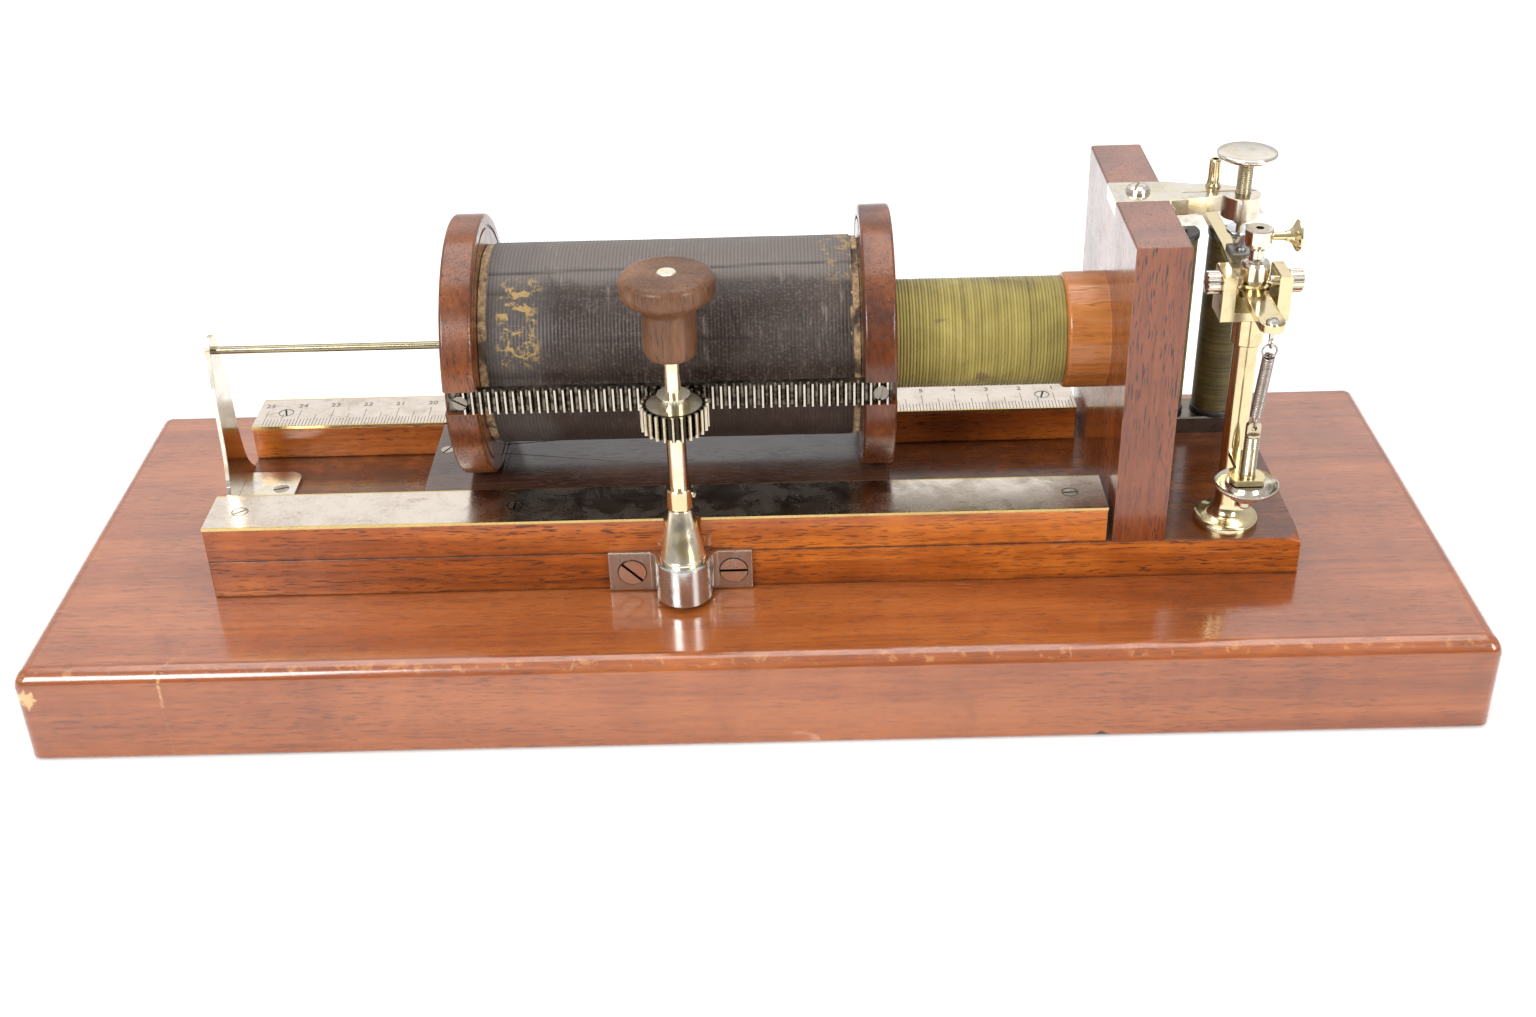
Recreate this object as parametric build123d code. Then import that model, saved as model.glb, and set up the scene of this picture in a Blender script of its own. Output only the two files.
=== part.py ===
from build123d import *
from math import pi, cos, sin, tan, sqrt, radians, degrees, atan2
import os

# Sledge induction coil with a hammer interrupter. Millimetres.
# +X runs along the rails towards the interrupter, +Y to the back, +Z up.
# The origin is the middle of the base board's underside.

# ---------------------------------------------------------------- base and rails
BASE_L = 396.0
BASE_W = 147.0
BASE_H = 28.0
BASE_ROUND = 5.0

BED_X0 = -151.6
BED_X1 = 151.4
BED_TOP = 39.7
BED_HALF_W = 38.1

RAIL_X1 = 97.4
RAIL_INNER_Y = 20.3
RAIL_TOP = 49.9
STRIP_T = 0.8
STRIP_TOP = RAIL_TOP + STRIP_T

# ---------------------------------------------------------------- upright and coils
UPRIGHT_X0 = 99.0
UPRIGHT_X1 = 113.4
UPRIGHT_TOP = 126.9
ARM_T = 4.4
ARM_Y0 = -6.8
ARM_Y1 = 7.2

AXIS_Z = 86.5
PRIMARY_R = 15.3
PRIMARY_X0 = -34.0
COLLAR_R = 16.25
COLLAR_X0 = 87.2

BORE_R = 16.6
BOBBIN_R = 18.4
WINDING_R = 27.0
WRAPPER_R = 28.0
FLANGE_R = 36.3
FLANGE_T = 8.8
LEFT_FLANGE_X = -80.9
RIGHT_FLANGE_X = 30.7

BOARD_X0 = -93.3
BOARD_X1 = 38.7
BOARD_TOP = 50.5
BOARD_BOTTOM = 39.8
BOARD_HALF_W = 20.0

# ---------------------------------------------------------------- rack and pinion
MODULE = 0.7
TEETH = 24
PITCH_R = MODULE * TEETH / 2
PITCH = pi * MODULE
BACKLASH = 0.16
PINION_X = -19.3
RACK_TIP_Y = -36.2
PINION_Y = RACK_TIP_Y + MODULE - PITCH_R
PINION_Z0 = 82.3
PINION_Z1 = 89.3
RACK_Z0 = 83.2
RACK_Z1 = 89.8
RACK_BACK_Y = -32.9
RACK_X0 = -79.9
RACK_X1 = 38.1
SHAFT_R = 2.15
SLEEVE_R = 2.6
CUP_R = 7.6
CUP_Z0 = 29.4
CUP_Z1 = 41.8
CONE_TOP = 57.9

# ---------------------------------------------------------------- interrupter
HAMMER_X = 132.2
PILLAR_Y = -28.0
PIVOT_Z = 112.5
FORK_GAP = 11.0
CHEEK_T = 3.4
FORK_Z0 = 103.3
FORK_Z1 = 115.8
LEVER_Z0 = 109.0
LEVER_Z1 = 111.0
LEVER_HALF_W = 3.2
NOSE_Y = -49.3
HOOK_Y = -50.0
LEVER_BACK_Y = 34.0

SCREW_X = 133.7
SCREW_Y = -2.4
THREAD_R = 2.05
FIT = 0.08

MAGNET_Y = 29.0
MAGNET_PITCH = 16.4
MAGNET_R = 6.6
MAGNET_TOP = 103.5

LUG_Y = -44.5
LUG_Z0 = 62.0
LUG_Z1 = 63.6
ROD_R = 2.0
ROD_TOP = 80.2

os.makedirs("parts", exist_ok=True)


# ================================================================ helpers
def box(x0, x1, y0, y1, z0, z1):
    """A block between two corners."""
    block = Box(x1 - x0, y1 - y0, z1 - z0)
    return Pos((x0 + x1) / 2, (y0 + y1) / 2, (z0 + z1) / 2) * block


def rod_z(x, y, r, z0, z1):
    """An upright cylinder."""
    return Pos(x, y, (z0 + z1) / 2) * Cylinder(r, z1 - z0)


def rod_x(y, z, r, x0, x1):
    """A cylinder lying along X."""
    return Pos((x0 + x1) / 2, y, z) * Rot(0, 90, 0) * Cylinder(r, x1 - x0)


def rod_y(x, z, r, y0, y1):
    """A cylinder lying along Y."""
    return Pos(x, (y0 + y1) / 2, z) * Rot(90, 0, 0) * Cylinder(r, y1 - y0)


def turned(profile, x=0.0, y=0.0, z=0.0):
    """A shape turned about an upright axis from (radius, height) points."""
    face = make_face(Polyline(*[(r, 0, h) for r, h in profile], close=True))
    return Pos(x, y, z) * revolve(face, Axis.Z, 360)


def turned_x(profile, y, z):
    """A shape turned about an axis along X from (radius, x) points."""
    face = make_face(Polyline(*[(px, 0, r) for r, px in profile], close=True))
    return Pos(0, y, z) * revolve(face, Axis.X, 360)


def prism(points, z0, z1):
    """A flat outline in plan, raised from z0 to z1."""
    face = make_face(Polyline(*[(px, py, 0) for px, py in points], close=True))
    return Pos(0, 0, z0) * extrude(face, z1 - z0, dir=(0, 0, 1))


def ring(x, y, z, major, minor, plane):
    """A wire ring. plane is the plane it lies in."""
    turn = {"XY": (0, 0, 0), "XZ": (90, 0, 0), "YZ": (0, 90, 0)}[plane]
    return Pos(x, y, z) * Rot(*turn) * Torus(major, minor)


def slotted_head(x, y, z, r, depth, slot_angle):
    """A countersunk screw head whose flat face lies at height z."""
    head = turned([(0, -depth), (r * 0.45, -depth), (r, -0.25), (r, 0), (0, 0)], x, y, z)
    slot = Pos(x, y, z) * Rot(0, 0, slot_angle) * Box(2.4 * r, 0.28 * r, 0.9 * depth)
    return head - slot


def countersink(x, y, z, r, depth):
    """The seat that a countersunk head fills."""
    return turned([(0, -depth), (r * 0.45, -depth), (r, -0.25), (r, 0.2), (0, 0.2)], x, y, z)


def save(shape, node):
    """Writes one piece."""
    solids = shape.solids()
    out = solids[0] if len(solids) == 1 else Compound(children=list(solids))
    export_step(out, "parts/" + node + ".step")


# ================================================================ base, bed and rails
base = box(-BASE_L / 2, BASE_L / 2, -BASE_W / 2, BASE_W / 2, 0, BASE_H)
base = fillet(base.edges().filter_by(Axis.Z), 3.0)
base = fillet(base.faces().sort_by(Axis.Z)[-1].edges(), 4.8)
base = chamfer(base.faces().sort_by(Axis.Z)[0].edges(), 0.6)
save(base, "base_board")

# The knob bracket's cup stands in a shallow upright groove at the front.
cup_groove = rod_z(PINION_X, PINION_Y, CUP_R + 0.15, BASE_H - 1, STRIP_TOP + 1)

bed = box(BED_X0, BED_X1, -BED_HALF_W, BED_HALF_W, BASE_H, BED_TOP)
worn_corner = Pos(BED_X1 - 1.5, -BED_HALF_W, BED_TOP + 0.8) * Rot(0, 16, 0) * Rot(12, 0, 0)
bed = bed - worn_corner * Box(22, 26, 3.4) - cup_groove
save(bed, "bed_board")

front_rail = box(BED_X0, RAIL_X1, -BED_HALF_W, -RAIL_INNER_Y, BED_TOP, RAIL_TOP) - cup_groove
rear_rail = box(BED_X0, RAIL_X1, RAIL_INNER_Y, BED_HALF_W, BED_TOP, RAIL_TOP)
save(front_rail, "front_rail")
save(rear_rail, "rear_rail")

STRIP_MID_Y = (BED_HALF_W + RAIL_INNER_Y) / 2
STRIP_SCREW_X = (-143.0, -66.2, 11.7, 88.0)
front_strip = box(BED_X0, RAIL_X1, -BED_HALF_W, -RAIL_INNER_Y, RAIL_TOP, STRIP_TOP) - cup_groove
rear_strip = box(BED_X0, RAIL_X1, RAIL_INNER_Y, BED_HALF_W, RAIL_TOP, STRIP_TOP)
strip_screws = []
for i, sx in enumerate(STRIP_SCREW_X):
    for j, sy in enumerate((-STRIP_MID_Y, STRIP_MID_Y)):
        seat = countersink(sx, sy, STRIP_TOP - 0.05, 2.0, 0.7)
        front_strip = front_strip - seat
        rear_strip = rear_strip - seat
        strip_screws.append(slotted_head(sx, sy, STRIP_TOP - 0.05, 2.0, 0.7, 35 + 50 * i + 70 * j))
save(front_strip, "front_strip")
save(rear_strip, "rear_scale_strip")
save(Compound(children=[s.solids()[0] for s in strip_screws]), "strip_screws")

# ================================================================ support rod and its bracket
BRACKET_T = 1.2
BRACKET_X0 = BED_X0 - 0.7
half_outline = [(16.0, 39.7), (13.2, 42.0), (10.6, 45.0), (8.8, 49.0), (7.6, 54.0), (7.0, 60.0)]
half_outline += [(6.6, 70.0), (5.6, 77.0), (4.4, 83.0)]
top_arc = [(3.9 * cos(radians(a)), AXIS_Z + 0.6 + 3.9 * sin(radians(a))) for a in range(0, 181, 15)]
right_side = half_outline + top_arc
left_side = [(-py, pz) for py, pz in reversed(half_outline)]
strap_wire = Polyline(*[(BRACKET_X0, py, pz) for py, pz in right_side + left_side], close=True)
strap = extrude(make_face(strap_wire), BRACKET_T, dir=(1, 0, 0))
foot = box(BRACKET_X0, -135.0, -10.0, 10.0, BED_TOP, BED_TOP + BRACKET_T)
foot = fillet(foot.edges().filter_by(Axis.Z).group_by(Axis.X)[-1], 4.0)
bracket = strap + foot - rod_x(0, AXIS_Z, 1.1, BRACKET_X0 - 1, BRACKET_X0 + 3)
bracket = bracket - countersink(-139.5, 0, BED_TOP + BRACKET_T, 2.2, 1.1)
save(bracket, "rod_bracket")
save(slotted_head(-139.5, 0, BED_TOP + BRACKET_T, 2.2, 1.1, 20), "bracket_screw")

support_rod = rod_x(0, AXIS_Z, 1.1, BRACKET_X0 - 0.9, PRIMARY_X0 - 1.0)
nut_x = BRACKET_X0 - 1.6
rod_nut = turned_x([(0, nut_x), (1.2, nut_x + 0.2), (1.9, nut_x + 0.8), (1.9, BRACKET_X0),
                    (1.1, BRACKET_X0), (1.1, nut_x + 0.7), (0, nut_x + 0.7)], 0, AXIS_Z)
save(support_rod, "support_rod")
save(rod_nut, "rod_nut")

# ================================================================ upright block
upright = box(UPRIGHT_X0, UPRIGHT_X1, -BED_HALF_W, BED_HALF_W, BED_TOP, UPRIGHT_TOP)
upright = fillet(upright.edges().filter_by(Axis.Y).group_by(Axis.Z)[-1], 0.8)
far_top = upright.edges().filter_by(Axis.X).group_by(Axis.Z)[-1].sort_by(Axis.Y)[-1]
upright = fillet(far_top, 2.0)
upright = upright - box(UPRIGHT_X0 - 1, UPRIGHT_X1 + 1, ARM_Y0, ARM_Y1,
                        UPRIGHT_TOP - ARM_T, UPRIGHT_TOP + 1)
save(upright, "upright_block")

# ================================================================ primary coil
collar = rod_x(0, AXIS_Z, COLLAR_R, COLLAR_X0, UPRIGHT_X0)
collar = fillet(collar.edges().sort_by(Axis.X)[0], 1.4)
save(collar - rod_x(0, AXIS_Z, 12.0, COLLAR_X0 - 1, UPRIGHT_X0 + 1), "primary_collar")

tube = rod_x(0, AXIS_Z, 12.0, PRIMARY_X0, UPRIGHT_X0)
core_space = rod_x(0, AXIS_Z, 10.6, PRIMARY_X0 - 1, UPRIGHT_X0 + 1)
save(tube - core_space, "primary_tube")
save(rod_x(0, AXIS_Z, 10.6, PRIMARY_X0, UPRIGHT_X0), "iron_core")

winding = rod_x(0, AXIS_Z, PRIMARY_R, PRIMARY_X0, COLLAR_X0)
save(winding - rod_x(0, AXIS_Z, 12.0, PRIMARY_X0 - 1, COLLAR_X0 + 1), "primary_winding")

end_plug = rod_x(0, AXIS_Z, PRIMARY_R, PRIMARY_X0 - 4.0, PRIMARY_X0)
end_plug = fillet(end_plug.edges().sort_by(Axis.X)[0], 1.2)
save(end_plug - rod_x(0, AXIS_Z, 1.1, PRIMARY_X0 - 5, PRIMARY_X0 - 1), "primary_end")

# ================================================================ sliding secondary coil
board = box(BOARD_X0, BOARD_X1, -BOARD_HALF_W, BOARD_HALF_W, BOARD_BOTTOM, BOARD_TOP)
board = chamfer(board.faces().sort_by(Axis.Z)[-1].edges(), 0.3)
board = board - countersink(-89.8, 4.0, BOARD_TOP, 2.0, 1.2)
save(board, "carriage_board")
save(slotted_head(-89.8, 4.0, BOARD_TOP, 2.0, 1.2, 60), "carriage_screw")

rack_slot = box(-100, 60, -FLANGE_R - 1, RACK_BACK_Y, RACK_Z0, RACK_Z1)


def flange(x0, inner_side):
    """A turned wooden disc, flat underneath, with a raised ring on its coil side."""
    x1 = x0 + FLANGE_T
    disc = rod_x(0, AXIS_Z, FLANGE_R, x0, x1)
    disc = fillet(disc.edges().filter_by(GeomType.CIRCLE), 1.0)
    face_x = x1 if inner_side > 0 else x0
    groove = rod_x(0, AXIS_Z, 33.2, face_x - 0.5, face_x + 0.5)
    groove = groove - rod_x(0, AXIS_Z, 32.2, face_x - 1, face_x + 1)
    disc = disc - groove
    disc = disc - rod_x(0, AXIS_Z, BORE_R, x0 - 1, x1 + 1)
    disc = disc - box(x0 - 1, x1 + 1, -40, 40, 0, BOARD_TOP)
    return disc - rack_slot


save(flange(LEFT_FLANGE_X, 1), "left_flange")
save(flange(RIGHT_FLANGE_X, -1), "right_flange")

COIL_X0 = LEFT_FLANGE_X + FLANGE_T
COIL_X1 = RIGHT_FLANGE_X
bobbin = rod_x(0, AXIS_Z, BOBBIN_R, COIL_X0, COIL_X1)
save(bobbin - rod_x(0, AXIS_Z, BORE_R, COIL_X0 - 1, COIL_X1 + 1), "bobbin_tube")

secondary = rod_x(0, AXIS_Z, WINDING_R, COIL_X0, COIL_X1)
save(secondary - rod_x(0, AXIS_Z, BOBBIN_R, COIL_X0 - 1, COIL_X1 + 1), "secondary_winding")

CARD_W = 2.4
wrapper = rod_x(0, AXIS_Z, WRAPPER_R, COIL_X0 + CARD_W, COIL_X1 - CARD_W)
save(wrapper - rod_x(0, AXIS_Z, WINDING_R, COIL_X0, COIL_X1), "coil_wrapper")
cards = []
for cx in (COIL_X0 + 0.5, COIL_X1 - CARD_W):
    card = rod_x(0, AXIS_Z, WRAPPER_R + 0.2, cx, cx + CARD_W - 0.5)
    cards.append((card - rod_x(0, AXIS_Z, WINDING_R, cx - 1, cx + CARD_W + 1)).solids()[0])
save(Compound(children=cards), "edge_cards")

# ---------------------------------------------------------------- rack
PRESSURE = radians(20)
rack_root_y = RACK_TIP_Y + 2.25 * MODULE
rack = box(RACK_X0, RACK_X1, rack_root_y, RACK_BACK_Y, RACK_Z0, RACK_Z1)
half_pitch_width = PITCH / 4 - BACKLASH / 4
tip_half = half_pitch_width - MODULE * tan(PRESSURE)
root_half = half_pitch_width + 1.25 * MODULE * tan(PRESSURE)
first = int((RACK_X0 - PINION_X) / PITCH) + 1
last = int((RACK_X1 - PINION_X) / PITCH) - 1
teeth = []
for k in range(first, last + 1):
    tx = PINION_X + (k + 0.5) * PITCH
    teeth.append(prism([(tx - root_half, rack_root_y + 0.05), (tx - tip_half, RACK_TIP_Y),
                        (tx + tip_half, RACK_TIP_Y), (tx + root_half, rack_root_y + 0.05)],
                       RACK_Z0, RACK_Z1))
rack = rack.fuse(*teeth)
RACK_SCREW_X = (-76.6, 35.1)
rack_mid_z = (RACK_Z0 + RACK_Z1) / 2
rack_screws = []
for i, sx in enumerate(RACK_SCREW_X):
    rack = rack - rod_y(sx, rack_mid_z, 2.1, RACK_TIP_Y - 1, rack_root_y)
    rack = rack - rod_y(sx, rack_mid_z, 1.2, rack_root_y - 1, RACK_BACK_Y + 1)
    head = rod_y(sx, rack_mid_z, 2.0, RACK_TIP_Y + 0.35, rack_root_y)
    slot = Pos(sx, RACK_TIP_Y + 0.35, rack_mid_z) * Rot(0, 30 + 70 * i, 0) * Box(5, 1.0, 0.55)
    shank = rod_y(sx, rack_mid_z, 1.15, rack_root_y, RACK_BACK_Y)
    rack_screws.append((head - slot + shank).solids()[0])
save(rack, "rack")
save(Compound(children=rack_screws), "rack_screws")

# ================================================================ pinion spindle
BASE_R = PITCH_R * cos(PRESSURE)
TIP_R = PITCH_R + MODULE - 0.06
ROOT_R = PITCH_R - 1.25 * MODULE


def involute(r):
    """The angle that the tooth flank has turned through at radius r."""
    roll = sqrt(max((r / BASE_R) ** 2 - 1, 0.0))
    return roll - atan2(roll, 1)


def gear_outline():
    """Tooth outline, with one tooth pointing along +Y."""
    half_angle = (pi / 2 - BACKLASH / (2 * MODULE)) / TEETH
    radii = [max(BASE_R, ROOT_R + 0.1), 8.05, 8.25, 8.45, 8.7, 8.9, TIP_R]
    flank = [(r, half_angle + involute(PITCH_R) - involute(r)) for r in radii]
    points = []
    for k in range(TEETH):
        centre = pi / 2 + 2 * pi * k / TEETH
        side_a = [(ROOT_R, flank[0][1])] + flank
        for r, a in side_a:
            points.append((r * cos(centre - a), r * sin(centre - a)))
        for r, a in reversed(side_a):
            points.append((r * cos(centre + a), r * sin(centre + a)))
    return points


gear = Pos(PINION_X, PINION_Y, 0) * prism(gear_outline(), PINION_Z0, PINION_Z1)
hub_top = PINION_Z1 + 2.8
gear = gear + rod_z(PINION_X, PINION_Y, 4.4, PINION_Z1, hub_top)
gear = gear + rod_z(PINION_X, PINION_Y, 3.7, PINION_Z0 - 1.5, PINION_Z0)
gear = gear - rod_z(PINION_X, PINION_Y, SLEEVE_R, PINION_Z0 - 3, hub_top - 1.0)
gear = gear - rod_z(PINION_X, PINION_Y, SHAFT_R, PINION_Z0, hub_top + 1)

KNOB_Z0 = 103.3
KNOB_Z1 = 126.3
SHAFT_TOP = KNOB_Z1 + 0.15
shaft = turned([(0, 36.0), (1.7, 36.0), (1.7, CONE_TOP + 0.3), (SLEEVE_R, CONE_TOP + 0.3),
                (SLEEVE_R, hub_top - 1.0), (SHAFT_R, hub_top - 1.0), (SHAFT_R, KNOB_Z1 - 1.2),
                (2.55, KNOB_Z1 - 1.2), (2.55, SHAFT_TOP - 0.2), (2.3, SHAFT_TOP), (0, SHAFT_TOP)],
               PINION_X, PINION_Y)
save(shaft, "pinion_shaft")

stop_collar = turned([(SLEEVE_R, CONE_TOP + 0.3), (3.5, CONE_TOP + 0.3), (3.75, CONE_TOP + 0.6),
                      (3.75, CONE_TOP + 6.0), (3.5, CONE_TOP + 6.4), (SLEEVE_R, CONE_TOP + 6.4)],
                     PINION_X, PINION_Y)
set_hole = rod_x(PINION_Y, CONE_TOP + 3.6, 0.9, PINION_X + 2.0, PINION_X + 6.0)
hub_screw_at = Pos(PINION_X, PINION_Y, PINION_Z1 + 1.45) * Rot(0, 0, -118)
hub_hole = hub_screw_at * rod_x(0, 0, 0.95, 2.4, 6.0)
stop_collar = stop_collar - set_hole
save(stop_collar, "shaft_collar")
set_screw = rod_x(PINION_Y, CONE_TOP + 3.6, 0.9, PINION_X + SLEEVE_R, PINION_X + 4.5)
hub_screw = hub_screw_at * rod_x(0, 0, 0.95, SLEEVE_R + 0.05, 4.6)
set_screw = set_screw - box(PINION_X + 4.2, PINION_X + 5, PINION_Y - 2, PINION_Y + 2,
                            CONE_TOP + 3.45, CONE_TOP + 3.75)
hub_screw = hub_screw - hub_screw_at * box(4.3, 5, -2, 2, -0.15, 0.15)
gear = gear - hub_hole
save(gear, "pinion")
save(Compound(children=[set_screw.solids()[0], hub_screw.solids()[0]]), "set_screws")

knob_profile = [(SHAFT_R, KNOB_Z0), (5.6, KNOB_Z0), (6.5, KNOB_Z0 + 0.6), (6.9, KNOB_Z0 + 1.8),
                (6.95, KNOB_Z0 + 11.5), (7.1, KNOB_Z0 + 12.6), (7.6, KNOB_Z0 + 13.6),
                (9.0, KNOB_Z0 + 14.8), (11.0, KNOB_Z0 + 16.2), (11.9, KNOB_Z0 + 17.2),
                (12.3, KNOB_Z0 + 18.6), (12.3, KNOB_Z0 + 20.6), (11.9, KNOB_Z0 + 21.8),
                (11.0, KNOB_Z0 + 22.6), (9.4, KNOB_Z1), (2.6, KNOB_Z1), (2.6, KNOB_Z1 - 1.25),
                (SHAFT_R, KNOB_Z1 - 1.25)]
save(turned(knob_profile, PINION_X, PINION_Y), "knob")

# ---------------------------------------------------------------- spindle bearing
EAR_Z0 = 28.4
EAR_Z1 = 40.6
EAR_T = 1.5
EAR_Y0 = -BED_HALF_W - EAR_T
EAR_LEFT = 21.0
EAR_RIGHT = 18.8
cup = turned([(0, CUP_Z0), (CUP_R - 0.6, CUP_Z0), (CUP_R, CUP_Z0 + 0.6), (CUP_R, CUP_Z1 - 0.4),
              (CUP_R - 0.4, CUP_Z1), (0, CUP_Z1)], PINION_X, PINION_Y)
ears = box(PINION_X - EAR_LEFT, PINION_X + EAR_RIGHT, EAR_Y0, -BED_HALF_W, EAR_Z0, EAR_Z1)
web = box(PINION_X - CUP_R - 1.6, PINION_X + CUP_R + 1.6, PINION_Y + 1.5, -BED_HALF_W, EAR_Z0 + 1.0, EAR_Z1)
for side in (-1, 1):
    scoop_x = PINION_X + side * (CUP_R + 3.2)
    web = web - rod_z(scoop_x, EAR_Y0 - 3.2, 3.2, EAR_Z0, EAR_Z1 + 1)
holder = ears + web + cup
holder = holder - rod_z(PINION_X, PINION_Y, 5.0, 35.0, CUP_Z1 + 1)
bracket_screws = []
for i, sx in enumerate((-14.6, 13.6)):
    hole = rod_y(PINION_X + sx, 34.3, 3.85, EAR_Y0 - 1, EAR_Y0 + 1.0)
    holder = holder - hole
    screw = rod_y(PINION_X + sx, 34.3, 3.8, EAR_Y0 - 0.2, EAR_Y0 + 1.0)
    slot = Pos(PINION_X + sx, EAR_Y0 - 0.2, 34.3) * Rot(0, 45 * (1 - i), 0) * Box(9, 1.0, 0.8)
    bracket_screws.append((screw - slot).solids()[0])
save(holder, "spindle_bracket")
save(Compound(children=bracket_screws), "spindle_bracket_screws")

cone = turned([(1.75, 35.0), (5.0, 35.0), (5.0, CUP_Z1), (6.3, CUP_Z1), (6.3, CUP_Z1 + 0.8),
               (5.9, CUP_Z1 + 1.4), (3.5, CONE_TOP - 0.3), (3.2, CONE_TOP), (1.75, CONE_TOP)],
              PINION_X, PINION_Y)
save(cone, "bearing_cone")

# ================================================================ contact arm on the upright
ARM_Z0 = UPRIGHT_TOP - ARM_T
SLIT_Y = -1.1
CLAMP_X = 133.2
CLAMP_Y = -2.8
CLAMP_R = 5.05
arm_outline = [(UPRIGHT_X0, ARM_Y0), (UPRIGHT_X1 + 0.3, ARM_Y0), (118.4, -6.2), (123.8, -4.8),
               (128.4, -3.9), (CLAMP_X, CLAMP_Y), (CLAMP_X, 2.0), (130.0, 3.7), (126.7, 4.7),
               (122.0, 4.9), (UPRIGHT_X1 + 0.3, ARM_Y1), (UPRIGHT_X0, ARM_Y1)]
arm = prism(arm_outline, ARM_Z0, UPRIGHT_TOP)
arm = arm + rod_z(CLAMP_X, CLAMP_Y, CLAMP_R, UPRIGHT_TOP - 6.1, UPRIGHT_TOP)
arm = arm - rod_z(SCREW_X, SCREW_Y, THREAD_R + FIT, UPRIGHT_TOP - 7, UPRIGHT_TOP + 1)
arm = arm - box(117.7, CLAMP_X + 8, SLIT_Y - 0.25, SLIT_Y + 0.25, UPRIGHT_TOP - 7, UPRIGHT_TOP + 1)
save(arm, "contact_arm")

arm_head = turned([(0, 0), (3.3, 0), (3.3, 0.5), (2.9, 1.3), (2.0, 1.95), (0.9, 2.25), (0, 2.3)],
                  106.0, 0.2, UPRIGHT_TOP)
arm_head = arm_head - Pos(106.0, 0.2, UPRIGHT_TOP + 2.1) * Rot(0, 0, 62) * Box(8, 0.7, 1.7)
save(arm_head, "arm_screw")

arm_post = turned([(0, 0), (2.1, 0), (2.0, 0.5), (1.75, 1.2), (1.6, 2.2), (1.55, 7.4), (1.35, 7.8),
                   (0.85, 7.8), (0.85, 5.0), (0, 5.0)], 126.7, 2.6, UPRIGHT_TOP)
save(arm_post, "arm_post")

# ---------------------------------------------------------------- contact screw
HEAD_Z0 = 135.2
TIP_Z = 115.4
grooves = 15
thread_profile = [(0, TIP_Z), (0.7, TIP_Z), (0.88, TIP_Z + 0.2), (0.88, TIP_Z + 2.6), (THREAD_R, TIP_Z + 3.4)]
for k in range(grooves):
    gz = 127.2 + k * 0.5
    thread_profile += [(THREAD_R, gz), (THREAD_R - 0.2, gz + 0.25)]
thread_profile += [(THREAD_R, 127.2 + grooves * 0.5), (THREAD_R, HEAD_Z0), (0, HEAD_Z0)]
save(turned(thread_profile, SCREW_X, SCREW_Y), "contact_screw")

head_profile = [(0, HEAD_Z0), (2.5, HEAD_Z0), (2.9, HEAD_Z0 + 0.7), (4.2, HEAD_Z0 + 1.2),
                (6.6, HEAD_Z0 + 1.5), (7.6, HEAD_Z0 + 1.9), (8.0, HEAD_Z0 + 2.4),
                (8.0, HEAD_Z0 + 2.9), (7.5, HEAD_Z0 + 3.3), (5.5, HEAD_Z0 + 3.45), (0, HEAD_Z0 + 3.5)]
save(turned(head_profile, SCREW_X, SCREW_Y), "contact_screw_head")

# ================================================================ pillar, fork and pivots
pillar_profile = [(0, BED_TOP), (8.9, BED_TOP), (8.9, BED_TOP + 1.6), (8.5, BED_TOP + 2.3),
                  (7.4, BED_TOP + 2.7), (5.6, BED_TOP + 3.1), (4.6, BED_TOP + 3.8),
                  (3.9, BED_TOP + 5.0), (3.5, BED_TOP + 7.0), (3.3, BED_TOP + 12.0),
                  (3.3, 95.2), (3.9, 95.2), (4.2, 95.5), (4.2, FORK_Z0), (0, FORK_Z0)]
pillar = turned(pillar_profile, HAMMER_X, PILLAR_Y)
save(pillar, "pillar")

fork_half = FORK_GAP / 2 + CHEEK_T
fork = box(HAMMER_X - fork_half, HAMMER_X + fork_half, PILLAR_Y - 5, PILLAR_Y + 5, FORK_Z0, FORK_Z1)
fork = fork - box(HAMMER_X - FORK_GAP / 2, HAMMER_X + FORK_GAP / 2, PILLAR_Y - 6, PILLAR_Y + 6,
                  FORK_Z0 + 2.5, FORK_Z1 + 1)
fork = chamfer(fork.edges().filter_by(Axis.Y).group_by(Axis.Z)[-1], 0.35)
fork = fork - rod_x(PILLAR_Y, PIVOT_Z, 1.5, HAMMER_X - 12, HAMMER_X + 12)
save(fork, "fork")

pivots = []
for side in (-1, 1):
    p = turned([(0, 0.1), (0.85, 0.1), (0.85, 1.6), (1.5, 2.4), (1.5, 7.0), (2.9, 7.0), (3.1, 7.2),
                (3.1, 10.2), (2.8, 10.6), (0, 10.9)])
    for k in range(14):
        a = 2 * pi * k / 14
        p = p - rod_z(3.3 * cos(a), 3.3 * sin(a), 0.42, 7.4, 11.2)
    p = p - Pos(0, 0, 10.9) * Box(0.6, 8, 1.2)
    p = Pos(HAMMER_X + side * (fork_half - 7.0), PILLAR_Y, PIVOT_Z) * Rot(0, 90 * side, 0) * p
    pivots.append(p.solids()[0])
save(Compound(children=pivots), "pivot_screws")

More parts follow.
